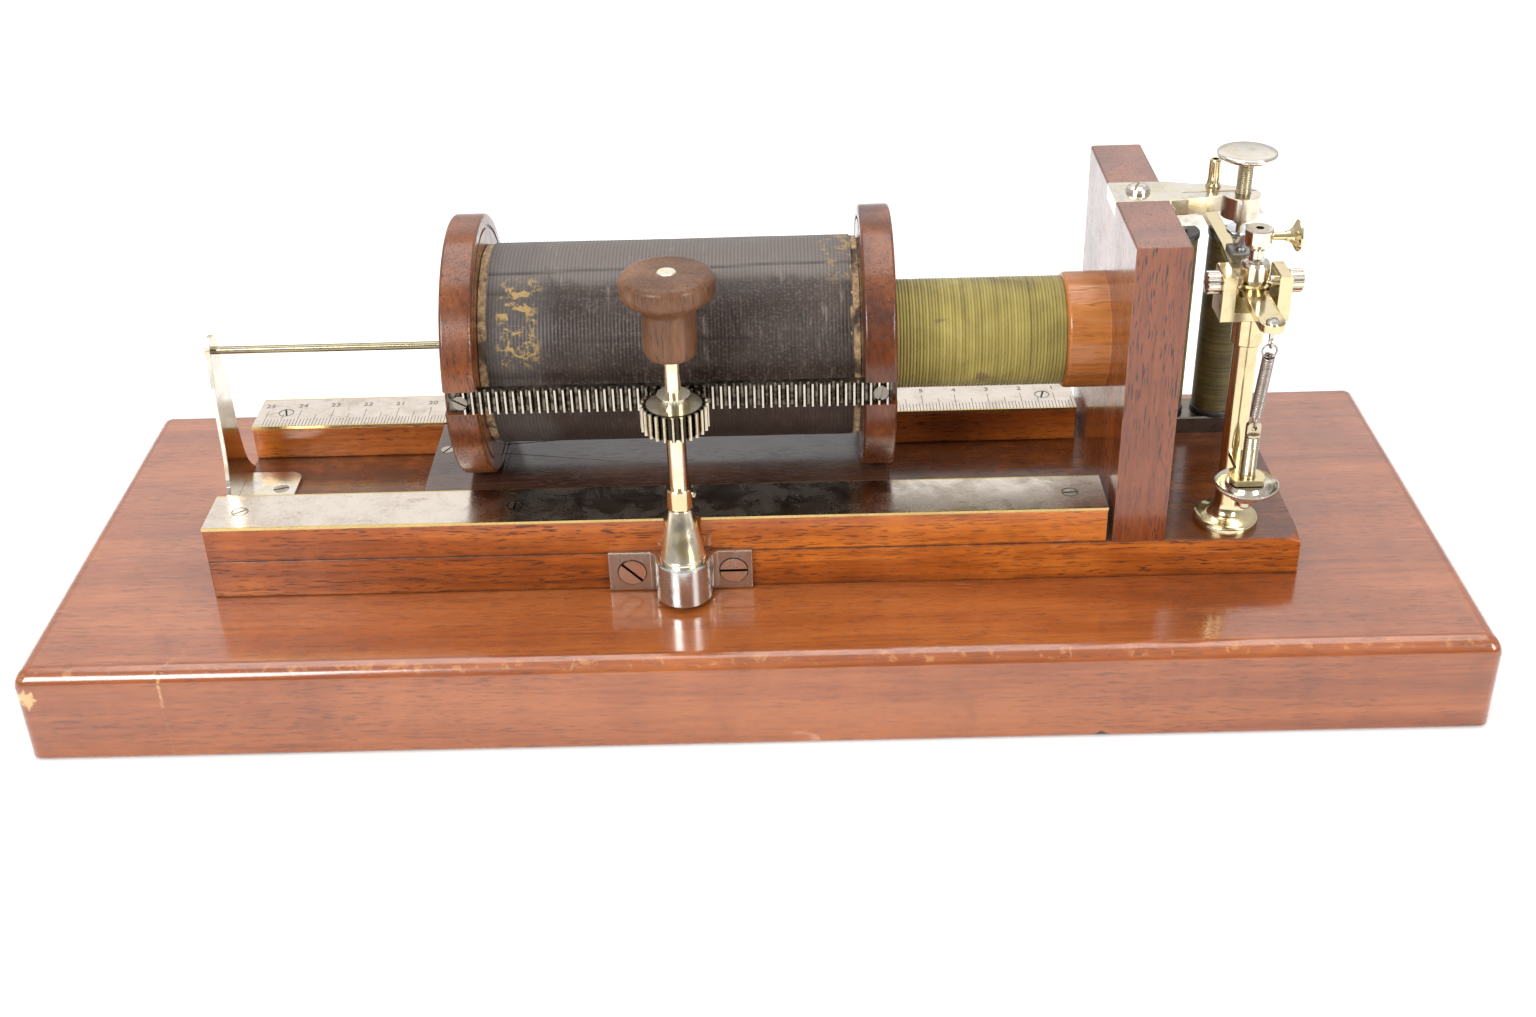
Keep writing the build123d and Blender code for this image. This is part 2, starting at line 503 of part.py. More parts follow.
# ================================================================ hammer: lever, armature, contact
REAR_HALF_W = 1.8
lever_outline = [(LEVER_HALF_W, NOSE_Y), (LEVER_HALF_W, -22.0), (REAR_HALF_W, 1.0), (REAR_HALF_W, LEVER_BACK_Y),
                 (-REAR_HALF_W, LEVER_BACK_Y), (-REAR_HALF_W, 1.0), (-LEVER_HALF_W, -22.0),
                 (-LEVER_HALF_W, NOSE_Y)]
lever = Pos(HAMMER_X, 0, 0) * prism(lever_outline, LEVER_Z0, LEVER_Z1)
lever = lever + rod_z(HAMMER_X, NOSE_Y, LEVER_HALF_W, LEVER_Z0, LEVER_Z1)
lever = lever + rod_z(HAMMER_X, PILLAR_Y, 4.2, LEVER_Z0, LEVER_Z1)
lever = lever - rod_z(HAMMER_X, HOOK_Y, 0.7, LEVER_Z0 - 1, LEVER_Z1 + 1)
save(lever, "lever")

bar_half = MAGNET_PITCH / 2 + MAGNET_R + 1.2
armature = box(HAMMER_X - bar_half, HAMMER_X + bar_half, 25.9, 35.6, LEVER_Z0 - 3.1, LEVER_Z0)
armature = fillet(armature.edges().filter_by(Axis.Z), 0.8)
save(armature, "armature")

block = box(HAMMER_X - 2.0, HAMMER_X + 3.4, -11.8, -4.2, LEVER_Z1, LEVER_Z1 + 2.2)
block = chamfer(block.faces().sort_by(Axis.Z)[-1].edges(), 0.3)
BLOCK_SCREW_X = HAMMER_X + 0.9
save(block - rod_z(BLOCK_SCREW_X, -8.8, 1.5, LEVER_Z1 + 1.4, LEVER_Z1 + 3), "contact_block")
block_screw = turned([(0, 1.4), (1.45, 1.4), (1.45, 2.5), (1.1, 3.0), (0, 3.15)],
                     BLOCK_SCREW_X, -8.8, LEVER_Z1)
block_slot = Pos(BLOCK_SCREW_X, -8.8, LEVER_Z1 + 3.0) * Rot(0, 0, 40) * Box(4, 0.4, 0.8)
save(block_screw - block_slot, "block_screw")

# A sprung leaf rises from the block and carries the contact disc under the screw.
STUD_X = SCREW_X + 0.2
LEAF_TILT = 14.0
leaf = Pos(0, -4.0, LEVER_Z1 + 1.7) * Rot(35, 0, 0) * box(HAMMER_X + 0.0, HAMMER_X + 3.4, -0.1, 4.2, -0.2, 0.2)
disc = Pos(STUD_X, 0.2, LEVER_Z1 + 4.7) * Rot(LEAF_TILT, 0, 0) * turned(
    [(0, -1.1), (1.5, -1.1), (1.5, -0.7), (2.85, -0.7), (2.85, -0.15), (2.7, 0), (0, 0)])
save(leaf + disc, "contact_stud")

nose_hook = rod_z(HAMMER_X, HOOK_Y, 0.7, 106.7, LEVER_Z1)
nose_hook = nose_hook + turned([(0, 0), (1.9, 0), (1.9, 0.4), (1.3, 1.0), (0, 1.2)], HAMMER_X, HOOK_Y, LEVER_Z1)
nose_hook = nose_hook - Pos(HAMMER_X, HOOK_Y, LEVER_Z1 + 1.1) * Rot(0, 0, 12) * Box(5, 0.4, 0.8)
nose_hook = nose_hook + ring(HAMMER_X, HOOK_Y, 105.6, 1.3, 0.3, "YZ")
save(nose_hook, "nose_hook")

# ---------------------------------------------------------------- binding post on the lever
POST_TOP = 127.4
CLAMP_Z = 125.0
WIRE_R = 1.05
post = turned([(0, LEVER_Z1), (2.7, LEVER_Z1), (3.4, LEVER_Z1 + 1.4), (3.75, LEVER_Z1 + 2.8),
               (3.75, 117.6), (3.3, 118.3), (2.1, 118.7), (1.95, 119.4), (1.95, 121.6),
               (2.5, 122.2), (3.4, 122.8), (3.6, 123.6), (3.6, POST_TOP - 0.3),
               (3.35, POST_TOP), (0, POST_TOP)], HAMMER_X, PILLAR_Y)
post = post - rod_z(HAMMER_X, PILLAR_Y, WIRE_R, 119.0, POST_TOP + 1)
post = post - rod_x(PILLAR_Y, CLAMP_Z, 1.15, HAMMER_X, HAMMER_X + 5)
for side in (-1, 1):
    x_a = HAMMER_X + side * 1.9
    x_b = HAMMER_X + side * 5.0
    post = post - rod_x(PILLAR_Y, PIVOT_Z, 0.92, min(x_a, x_b), max(x_a, x_b))
save(post, "binding_post")

thumb_shank = rod_x(PILLAR_Y, CLAMP_Z, 1.07, HAMMER_X + 1.5, HAMMER_X + 6.8)
save(thumb_shank, "thumbscrew_shank")
tx = HAMMER_X + 6.8
thumb_head = turned_x([(0, tx), (1.3, tx), (1.5, tx + 0.9), (2.2, tx + 1.8), (3.5, tx + 2.5),
                       (4.1, tx + 2.9), (4.1, tx + 3.3), (3.6, tx + 3.7), (1.2, tx + 3.9), (0, tx + 3.9)],
                      PILLAR_Y, CLAMP_Z)
save(thumb_head, "thumbscrew_head")

# ================================================================ tension spring and its adjuster
lug = box(HAMMER_X - 1.9, HAMMER_X + 1.9, LUG_Y, PILLAR_Y, LUG_Z0, LUG_Z1)
lug = lug + rod_z(HAMMER_X, LUG_Y, 4.65, LUG_Z0, LUG_Z1)
lug = lug - box(HAMMER_X - 6, HAMMER_X + 6, LUG_Y - 8, LUG_Y - 2.9, LUG_Z0 - 1, LUG_Z1 + 1)
lug = lug - rod_z(HAMMER_X, PILLAR_Y, 3.3, LUG_Z0 - 1, LUG_Z1 + 1)
lug = lug - rod_z(HAMMER_X, LUG_Y, ROD_R + FIT, LUG_Z0 - 1, LUG_Z1 + 1)
save(lug, "tension_lug")

rod_profile = [(0, 54.2), (1.5, 54.2), (ROD_R, 54.8)]
for k in range(18):
    gz = 65.0 + 0.6 * k
    rod_profile += [(ROD_R, gz), (ROD_R - 0.2, gz + 0.3)]
rod_profile += [(ROD_R, 76.0), (ROD_R, ROD_TOP - 1.2), (1.5, ROD_TOP - 0.3), (0.8, ROD_TOP), (0, ROD_TOP)]
tension_rod = turned(rod_profile, HAMMER_X, LUG_Y)
tension_rod = tension_rod - box(HAMMER_X - 3, HAMMER_X + 3, LUG_Y - 3, LUG_Y - 0.9, 76.6, ROD_TOP + 1)
tension_rod = tension_rod - box(HAMMER_X - 3, HAMMER_X + 3, LUG_Y + 0.9, LUG_Y + 3, 76.6, ROD_TOP + 1)
tension_rod = tension_rod - rod_y(HAMMER_X, 78.3, 0.75, LUG_Y - 3, LUG_Y + 3)
tension_rod = tension_rod - box(HAMMER_X - 0.4, HAMMER_X + 0.4, LUG_Y - 3, LUG_Y - 0.8, 64.5, 72.5)
save(tension_rod, "tension_rod")

nut_top = LUG_Z0 - 0.3
nut = turned([(ROD_R + FIT, nut_top), (5.0, nut_top), (5.6, nut_top - 0.9), (7.4, nut_top - 0.5),
              (8.2, nut_top - 0.1), (8.6, nut_top - 0.4), (8.5, nut_top - 0.9), (7.2, nut_top - 1.9),
              (4.9, nut_top - 2.3), (4.7, nut_top - 3.6), (3.9, nut_top - 4.6),
              (2.9, nut_top - 5.0), (ROD_R + FIT, nut_top - 5.0)], HAMMER_X, LUG_Y)
save(nut, "tension_nut")

# A close-wound spring, drawn as rings side by side, with a loop at each end.
SPRING_R = 1.35
SPRING_TURNS = 38
spring_dy = 4.7
spring_dz = 19.85
spring_length = sqrt(spring_dy ** 2 + spring_dz ** 2)
WIRE = spring_length / SPRING_TURNS / 2
profile = [(SPRING_R - 2 * WIRE, 0.0)]
for k in range(SPRING_TURNS):
    z0 = 2 * WIRE * k
    profile += [(SPRING_R, z0 + 0.06), (SPRING_R + WIRE, z0 + WIRE), (SPRING_R, z0 + 2 * WIRE - 0.06)]
profile += [(SPRING_R - 2 * WIRE, spring_length)]
lean = degrees(atan2(spring_dy, spring_dz))
coil = Pos(HAMMER_X, -45.1, 81.9) * Rot(lean, 0, 0) * turned(profile)
coil = coil + ring(HAMMER_X, LUG_Y - 0.1, 80.1, 1.65, WIRE, "YZ")
coil = coil + ring(HAMMER_X, HOOK_Y + 0.1, 103.15, 1.85, WIRE, "XZ")
save(coil, "tension_spring")

# ================================================================ electromagnet
yoke_half = MAGNET_PITCH / 2 + MAGNET_R + 0.35
yoke = box(HAMMER_X - yoke_half, HAMMER_X + yoke_half, MAGNET_Y - 6.4, MAGNET_Y + 6.4, BED_TOP, 45.0)
yoke = chamfer(yoke.faces().sort_by(Axis.Z)[-1].edges(), 0.4)
save(yoke, "magnet_yoke")
cores = []
caps = []
windings = []
for side in (-1, 1):
    mx = HAMMER_X + side * MAGNET_PITCH / 2
    cores.append(rod_z(mx, MAGNET_Y, 3.2, 45.0, MAGNET_TOP + 0.8).solids()[0])
    for z0, z1 in ((45.0, 46.6), (101.6, MAGNET_TOP)):
        cap = rod_z(mx, MAGNET_Y, MAGNET_R + 0.35, z0, z1)
        cap = fillet(cap.edges().filter_by(GeomType.CIRCLE), 0.5)
        caps.append((cap - rod_z(mx, MAGNET_Y, 3.2, z0 - 1, z1 + 1)).solids()[0])
    coil_body = rod_z(mx, MAGNET_Y, MAGNET_R, 46.6, 101.6)
    windings.append((coil_body - rod_z(mx, MAGNET_Y, 3.2, 46, 102)).solids()[0])
save(Compound(children=cores), "magnet_cores")
save(Compound(children=caps), "magnet_caps")
save(Compound(children=windings), "magnet_windings")
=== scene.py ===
import random
from math import atan2, cos, hypot, pi, radians, sin

import bpy
from mathutils import Matrix, Vector, noise


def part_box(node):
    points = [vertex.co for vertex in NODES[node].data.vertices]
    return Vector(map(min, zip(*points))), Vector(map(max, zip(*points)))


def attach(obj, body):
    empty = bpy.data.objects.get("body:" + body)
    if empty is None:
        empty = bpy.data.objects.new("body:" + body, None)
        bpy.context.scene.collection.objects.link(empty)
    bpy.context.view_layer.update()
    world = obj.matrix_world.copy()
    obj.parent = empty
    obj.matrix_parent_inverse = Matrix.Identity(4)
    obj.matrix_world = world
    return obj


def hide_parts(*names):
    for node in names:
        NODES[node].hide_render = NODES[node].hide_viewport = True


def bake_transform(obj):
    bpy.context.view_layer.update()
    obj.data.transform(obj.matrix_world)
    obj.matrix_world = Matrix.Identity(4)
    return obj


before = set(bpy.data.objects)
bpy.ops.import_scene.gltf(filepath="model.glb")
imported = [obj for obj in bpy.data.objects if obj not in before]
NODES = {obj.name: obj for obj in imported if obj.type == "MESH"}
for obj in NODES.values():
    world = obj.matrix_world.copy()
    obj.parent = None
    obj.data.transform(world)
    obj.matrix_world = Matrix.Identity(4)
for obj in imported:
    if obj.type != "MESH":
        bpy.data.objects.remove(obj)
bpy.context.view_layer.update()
MM = 0.001
random.seed(7)

# Lengths are in metres unless a comment says millimetres. Texture scales are features per metre.


# ---------------------------------------------------------------- material building
class Nodes:
    """A cleared node tree with short calls for the nodes that materials and the sky share."""

    def __init__(self, owner):
        owner.use_nodes = True
        self.tree = owner.node_tree
        self.tree.nodes.clear()

    def link(self, a, b):
        self.tree.links.new(a, b)

    def put(self, socket, value):
        if isinstance(value, bpy.types.NodeSocket):
            self.link(value, socket)
        else:
            socket.default_value = value

    def math(self, op, a, b=0.0, c=0.0):
        node = self.tree.nodes.new("ShaderNodeMath")
        node.operation = op
        for i, v in enumerate((a, b, c)):
            self.put(node.inputs[i], v)
        return node.outputs[0]

    def times(self, a, b):
        return self.math("MULTIPLY", a, b)

    def times_add(self, a, b, c):
        return self.math("MULTIPLY_ADD", a, b, c)

    def apart(self, value, at):
        """How far a value is from a fixed one."""
        return self.math("ABSOLUTE", self.math("SUBTRACT", value, at))

    def radius(self, a, b, centre_a, centre_b):
        """Distance from a point in the plane of two coordinates."""
        da = self.math("SUBTRACT", a, centre_a)
        db = self.math("SUBTRACT", b, centre_b)
        return self.math("SQRT", self.times_add(da, da, self.times(db, db)))

    def xyz(self, place):
        node = self.tree.nodes.new("ShaderNodeSeparateXYZ")
        self.link(place, node.inputs[0])
        return node.outputs

    def ramp(self, value, stops):
        node = self.tree.nodes.new("ShaderNodeValToRGB")
        self.link(value, node.inputs[0])
        elements = node.color_ramp.elements
        while len(elements) < len(stops):
            elements.new(0.5)
        for element, (at, colour) in zip(elements, stops):
            element.position = at
            element.color = (*colour, 1.0)
        return node.outputs[0]


class Mat(Nodes):
    """A node material. Its constants go straight to the shader's sockets."""

    def __init__(self, name, **constants):
        self.material = bpy.data.materials.new(name)
        super().__init__(self.material)
        self.bsdf = self.tree.nodes.new("ShaderNodeBsdfPrincipled")
        out = self.tree.nodes.new("ShaderNodeOutputMaterial")
        self.link(self.bsdf.outputs[0], out.inputs[0])
        self.place = self.tree.nodes.new("ShaderNodeTexCoord").outputs["Object"]
        self.heights = []
        self.rounded = None
        for key, value in constants.items():
            self.bsdf.inputs[key.replace("_", " ")].default_value = value

    def stretch(self, scale, turn=(0, 0, 0), shift=(0, 0, 0)):
        """Object coordinates scaled by a different factor on each axis."""
        node = self.tree.nodes.new("ShaderNodeMapping")
        self.link(self.place, node.inputs[0])
        node.inputs["Location"].default_value = shift
        node.inputs["Rotation"].default_value = turn
        node.inputs["Scale"].default_value = scale
        return node.outputs[0]

    def noise(self, where, detail=3.0, rough=0.55, distort=0.0):
        node = self.tree.nodes.new("ShaderNodeTexNoise")
        self.link(where, node.inputs["Vector"])
        node.inputs["Scale"].default_value = 1.0
        node.inputs["Detail"].default_value = detail
        node.inputs["Roughness"].default_value = rough
        node.inputs["Distortion"].default_value = distort
        return node.outputs[0]

    def cells(self, where):
        """Distance from the nearest of a scatter of points."""
        node = self.tree.nodes.new("ShaderNodeTexVoronoi")
        self.link(where, node.inputs["Vector"])
        node.inputs["Scale"].default_value = 1.0
        return node.outputs["Distance"]

    def band(self, value, low, high, bottom=0.0, top=1.0):
        """value from low to high becomes bottom to top, clamped and smoothed."""
        node = self.tree.nodes.new("ShaderNodeMapRange")
        node.interpolation_type = "SMOOTHSTEP"
        for i, v in enumerate((value, low, high, bottom, top)):
            self.put(node.inputs[i], v)
        return node.outputs[0]

    def mix(self, amount, a, b):
        """Colour a with an amount of colour b over it."""
        node = self.tree.nodes.new("ShaderNodeMix")
        node.data_type = "RGBA"
        self.put(node.inputs[0], amount)
        for socket, v in ((node.inputs[6], a), (node.inputs[7], b)):
            self.put(socket, v if isinstance(v, bpy.types.NodeSocket) else (*v, 1.0))
        return node.outputs[2]

    def edge(self, radius):
        """1 on a sharp edge, 0 away from it. Also keeps the rounded normal for done()."""
        node = self.tree.nodes.new("ShaderNodeBevel")
        node.samples = 4
        node.inputs["Radius"].default_value = radius
        flat = self.tree.nodes.new("ShaderNodeNewGeometry")
        dot = self.tree.nodes.new("ShaderNodeVectorMath")
        dot.operation = "DOT_PRODUCT"
        self.link(node.outputs[0], dot.inputs[0])
        self.link(flat.outputs["Normal"], dot.inputs[1])
        self.rounded = node.outputs[0]
        return self.band(dot.outputs["Value"], 0.80, 0.985, 1.0, 0.0)

    def bump(self, height, distance, strength=1.0):
        """Adds one layer of relief. distance is in metres."""
        self.heights.append((height, distance, strength))

    def colour(self, socket):
        self.link(socket, self.bsdf.inputs["Base Color"])

    def rough(self, socket):
        self.link(socket, self.bsdf.inputs["Roughness"])

    def done(self):
        normal = self.rounded
        for height, distance, strength in self.heights:
            node = self.tree.nodes.new("ShaderNodeBump")
            node.inputs["Strength"].default_value = strength
            node.inputs["Distance"].default_value = distance
            self.link(height, node.inputs["Height"])
            if normal:
                self.link(normal, node.inputs["Normal"])
            normal = node.outputs[0]
        if normal:
            self.link(normal, self.bsdf.inputs["Normal"])
        return self.material


def along(axis, lengthwise, across):
    """A texture scale with one value along the grain and another across it."""
    return tuple(lengthwise if a == axis else across for a in "XYZ")


def even(scale):
    """The same texture scale on all three axes."""
    return (scale, scale, scale)


def tint(colour, factor, lift=0.0):
    """A colour made darker or paler."""
    return tuple(min(1.0, lift + c * factor) for c in colour)


def wood(name, deep, middle, light, axis="X", gloss=0.30, coat=0.6, pores=0.75, seed=0.0,
         wear=0.5, figure=0.16, extra=None, polish=1.5):
    """French polished wood: bands, streaks, open pores, scratches and a clear coat."""
    m = Mat(name, Coat_Weight=coat, Coat_Roughness=0.14, Coat_IOR=polish, Specular_IOR_Level=0.35)
    shift = (seed, seed * 1.7, seed * 0.6)
    bands = m.noise(m.stretch(along(axis, 5, 48), shift=shift), 3.0, 0.55, 0.6)
    streaks = m.noise(m.stretch(along(axis, 30, 800), shift=shift), 5.0, 0.68, 0.3)
    curl = m.noise(m.stretch(along(axis, 95, 30), shift=shift), 2.0, 0.5, 0.2)
    tone = m.times_add(streaks, 0.38, m.times(bands, 0.62))
    tone = m.times_add(curl, figure, m.math("SUBTRACT", tone, figure * 0.5))
    base = m.ramp(tone, [(0.30, deep), (0.48, middle), (0.62, light), (0.76, middle)])
    dash = m.noise(m.stretch(along(axis, 230, 2300), shift=shift), 1.0, 0.5, 0.0)
    where = m.noise(m.stretch(along(axis, 14, 120), shift=shift), 2.0, 0.5)
    pore = m.times(m.band(dash, 0.585, 0.66), m.band(where, 0.35, 0.6, 0.45, 1.0))
    base = m.mix(m.times(pore, pores), base, tint(deep, 0.30))
    stain = m.noise(m.stretch(even(22), shift=shift), 4.0, 0.6, 0.8)
    base = m.mix(m.band(stain, 0.58, 0.80, 0.0, 0.40), base, tint(deep, 0.55))
    turn = radians(24) if axis != "Z" else radians(70)
    line = m.noise(m.stretch((55, 2600, 55), (0.3, 0.2, turn), shift), 1.0, 0.5)
    patch = m.noise(m.stretch(even(60), shift=(seed + 3, 1, 2)), 2.0, 0.5)
    scratch = m.times(m.band(line, 0.71, 0.74), m.band(patch, 0.54, 0.64))
    speck = m.band(m.cells(m.stretch(even(260), shift=shift)), 0.02, 0.05, 1.0, 0.0)
    speck = m.times(speck, m.band(patch, 0.50, 0.62))
    worn = m.times(m.math("MAXIMUM", scratch, speck), wear)
    base = m.mix(worn, base, tint(light, 1.3, 0.12))
    # Paler along the edges: partly rubbed wear, partly painted highlight.
    uneven = m.band(m.noise(m.stretch(even(130)), 4.0, 0.65), 0.40, 0.62)
    rubbed = m.times(m.edge(0.7 * MM), uneven)
    base = m.mix(m.times(rubbed, 0.55), base, tint(light, 1.25, 0.06))
    m.rounded = None  # only the paler edge colour, wear and painted highlight, is wanted here, not the rounded normal
    if extra:
        base = extra(m, base)
    m.colour(base)
    smear = m.noise(m.stretch(even(38), shift=shift), 4.0, 0.6, 0.5)
    polished = m.band(smear, 0.3, 0.7, gloss - 0.07, gloss + 0.12)
    m.rough(m.math("ADD", polished, m.times(pore, 0.2)))
    m.bump(m.math("SUBTRACT", m.times(streaks, 0.25), pore), 0.06 * MM, 0.5)
    m.bump(m.noise(m.stretch(even(55), shift=shift), 2.0), 0.2 * MM, 0.3)
    return m.done()


# Paler, yellower colour for metal edges: partly plating worn through to brass, partly painted highlight.
EDGE_WEAR_AND_HIGHLIGHT = (0.80, 0.68, 0.40)


def metal(name, bright, tarnish, rough=(0.14, 0.30), spots=0.5, lines=None, seed=0.0, wear=0.6,
          gilt=None, extra=None, edge=None):
    """Old polished metal: hand marks, brown spots, fine polishing lines and scratches."""
    m = Mat(name, Metallic=1.0)
    shift = (seed, seed * 2.3, seed * 1.1)
    smear = m.noise(m.stretch(even(110), shift=shift), 5.0, 0.62, 0.8)
    fine = m.noise(m.stretch(even(900), shift=shift), 3.0, 0.6)
    base = bright
    if gilt:
        rubbed = m.noise(m.stretch((150, 150, 90), shift=(seed + 2, 3, 1)), 3.0, 0.6, 0.6)
        base = m.mix(m.band(rubbed, 0.44, 0.68), base, gilt)
    age = m.band(m.times_add(fine, 0.35, m.times(smear, 0.65)), 0.46, 0.76)
    # Edges painted paler: partly wear, partly painted highlight.
    if edge:
        base = m.mix(m.times(m.edge(edge), 0.8), base, EDGE_WEAR_AND_HIGHLIGHT)
    base = m.mix(m.times(age, spots), base, tarnish)
    dot = m.band(m.cells(m.stretch(even(420), shift=shift)), 0.05, 0.16, 1.0, 0.0)
    dot = m.times(dot, m.band(smear, 0.52, 0.62))
    base = m.mix(m.times(dot, spots), base, tint(tarnish, 0.4))
    if extra:
        base = extra(m, base)
    m.colour(base)
    m.rough(m.band(smear, 0.32, 0.70, rough[0], rough[1]))
    brushed = m.noise(m.stretch(lines or (60, 2600, 2600), shift=shift), 2.0, 0.6)
    m.bump(brushed, 0.01 * MM, 0.25 * wear)
    scratch = m.noise(m.stretch((90, 3800, 90), (0.5, 0.9, 0.6), shift), 1.0)
    m.bump(m.band(scratch, 0.68, 0.73), 0.02 * MM, 0.4 * wear)
    return m.done()


def use(material, *nodes):
    """Gives carried-over CAD nodes a material."""
    for node in nodes:
        mesh = NODES[node].data
        mesh.materials.clear()
        mesh.materials.append(material)


for node in NODES.values():
    node.data.shade_smooth()
    node.data.set_sharp_from_angle(angle=radians(35))

# ---------------------------------------------------------------- woods
BOARD_LOW, BOARD_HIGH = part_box("base_board")
FRONT = BOARD_LOW.y
CHIP = (BOARD_LOW.x + 3.5 * MM, FRONT + 1.0 * MM, BOARD_HIGH.z - 7.5 * MM)
DENT_X = 93 * MM
FLECK_X = -122 * MM
BARE_WOOD = (0.62, 0.36, 0.15)
# Colour of the painted shade in the seam below the rails.
SEAM_SHADE = (0.030, 0.010, 0.004)
RAIL_SEAM_Z = 39.8 * MM


def base_marks(m, base):
    """A pale chip and a fleck at the left of the front, a dent in its lower edge, and edge wear."""
    x, y, z = m.xyz(m.place)
    rag = m.noise(m.stretch(even(260)), 4.0, 0.65, 0.6)
    near = m.math("ADD", m.apart(x, CHIP[0]), m.apart(z, CHIP[2]))
    near = m.math("ADD", near, m.apart(y, CHIP[1]))
    chip = m.band(m.times_add(rag, 9.0 * MM, near), 7.5 * MM, 9.0 * MM, 1.0, 0.0)
    base = m.mix(chip, base, BARE_WOOD)
    dent = m.math("ADD", m.apart(x, DENT_X), m.times(z, 1.6))
    dent = m.band(m.times_add(rag, 3.0 * MM, dent), 3.8 * MM, 4.6 * MM, 1.0, 0.0)
    dent = m.times(dent, m.band(y, FRONT + 0.5 * MM, FRONT + 1.5 * MM, 1.0, 0.0))
    base = m.mix(dent, base, (0.03, 0.012, 0.006))
    edge = m.band(m.times_add(rag, 6.0 * MM, z), BOARD_HIGH.z + 1.0 * MM, BOARD_HIGH.z + 2.5 * MM)
    front = m.band(y, FRONT + 1.3 * MM, FRONT + 4.5 * MM, 1.0, 0.0)
    worn = m.times(m.times(edge, front), m.band(rag, 0.54, 0.64))
    base = m.mix(m.times(worn, 0.35), base, (0.60, 0.30, 0.11))
    across = m.apart(m.times_add(y, -0.5, x), FLECK_X)
    fleck = m.band(m.times_add(rag, 4.0 * MM, across), 2.2 * MM, 3.0 * MM, 1.0, 0.0)
    fleck = m.times(fleck, m.band(rag, 0.5, 0.53))
    fleck = m.times(fleck, m.band(y, FRONT, FRONT + 13.5 * MM, 1.0, 0.0))
    fleck = m.times(fleck, m.band(z, 12 * MM, 22 * MM, 0.1, 0.7))
    return m.mix(fleck, base, (0.62, 0.36, 0.16))


def bed_shade(m, base):
    """Painted shade in the seam below the rails and along the bed's foot."""
    z = m.xyz(m.place)[2]
    rag = m.noise(m.stretch(even(180)), 4.0, 0.65, 0.4)
    seam = m.apart(z, RAIL_SEAM_Z)
    seam_shade = m.band(m.times_add(rag, 1.2 * MM, seam), 0.6 * MM, 1.4 * MM, 0.75, 0.0)
    base = m.mix(seam_shade, base, SEAM_SHADE)
    foot_shade = m.band(m.times_add(rag, 1.6 * MM, z), BOARD_HIGH.z + 0.7 * MM, BOARD_HIGH.z + 2.0 * MM, 0.6, 0.0)
    return m.mix(foot_shade, base, (0.045, 0.014, 0.006))


use(wood("base_mahogany", (0.150, 0.034, 0.008), (0.255, 0.064, 0.014), (0.345, 0.100, 0.024), "X",
         0.20, 1.0, 0.45, 0.3, 0.55, extra=base_marks, polish=1.58), "base_board")
use(wood("bed_mahogany", (0.120, 0.024, 0.003), (0.320, 0.073, 0.008), (0.520, 0.150, 0.020), "X",
         0.24, 0.45, 0.8, 1.9, 0.35, extra=bed_shade), "bed_board", "front_rail", "rear_rail")
use(wood("upright_mahogany", (0.070, 0.014, 0.003), (0.155, 0.033, 0.006), (0.235, 0.057, 0.012), "Z",
         0.20, 0.7, 0.97, 4.1, 0.4, polish=1.6), "upright_block")
use(wood("flange_mahogany", (0.036, 0.007, 0.002), (0.100, 0.024, 0.005), (0.190, 0.054, 0.012), "Z",
         0.26, 0.4, 0.85, 6.3, 0.35, 0.5), "left_flange", "right_flange")
use(wood("collar_wood", (0.17, 0.045, 0.008), (0.39, 0.125, 0.022), (0.54, 0.20, 0.042), "X",
         0.28, 0.5, 0.5, 8.8, 0.4, 0.3), "primary_collar")
use(wood("board_wood", (0.028, 0.012, 0.008), (0.062, 0.026, 0.016), (0.105, 0.046, 0.027), "X",
         0.18, 0.55, 0.4, 2.7, 0.5), "carriage_board", "primary_end")
use(wood("knob_walnut", (0.042, 0.016, 0.006), (0.138, 0.057, 0.023), (0.230, 0.103, 0.048), "Z",
         0.40, 0.12, 0.6, 5.2, 0.3), "knob")

# ---------------------------------------------------------------- metals
TURNED = (400, 400, 5000)
FILED = (120, 2400, 2400)
BRASS = (0.68, 0.57, 0.34)
BRASS_OLD = (0.32, 0.21, 0.09)
PLATE = (0.70, 0.65, 0.58)
PLATE_OLD = (0.30, 0.23, 0.16)
OIL = (0.040, 0.030, 0.022)
SHADE_AND_OIL_FROM_Y = -36.0 * MM  # going in from the tips of the rack's teeth
STRIP_SCREWS = (-143.0 * MM, -66.2 * MM, 11.7 * MM, 88.0 * MM)  # along X, on both strips


def rack_shade_and_oil(m, base):
    """Painted shade all along between the rack's teeth, with patches of black oil deeper in."""
    y = m.xyz(m.place)[1]
    oil = m.noise(m.stretch((700, 700, 500)), 3.0, 0.6)
    # Painted shade: the gaps between the teeth darker all along.
    base = m.mix(m.band(y, SHADE_AND_OIL_FROM_Y, SHADE_AND_OIL_FROM_Y + 0.8 * MM), base, (0.16, 0.135, 0.105))
    deep = m.band(y, SHADE_AND_OIL_FROM_Y + 0.4 * MM, SHADE_AND_OIL_FROM_Y + 1.2 * MM)
    return m.mix(m.times(deep, m.band(oil, 0.42, 0.60)), base, OIL)


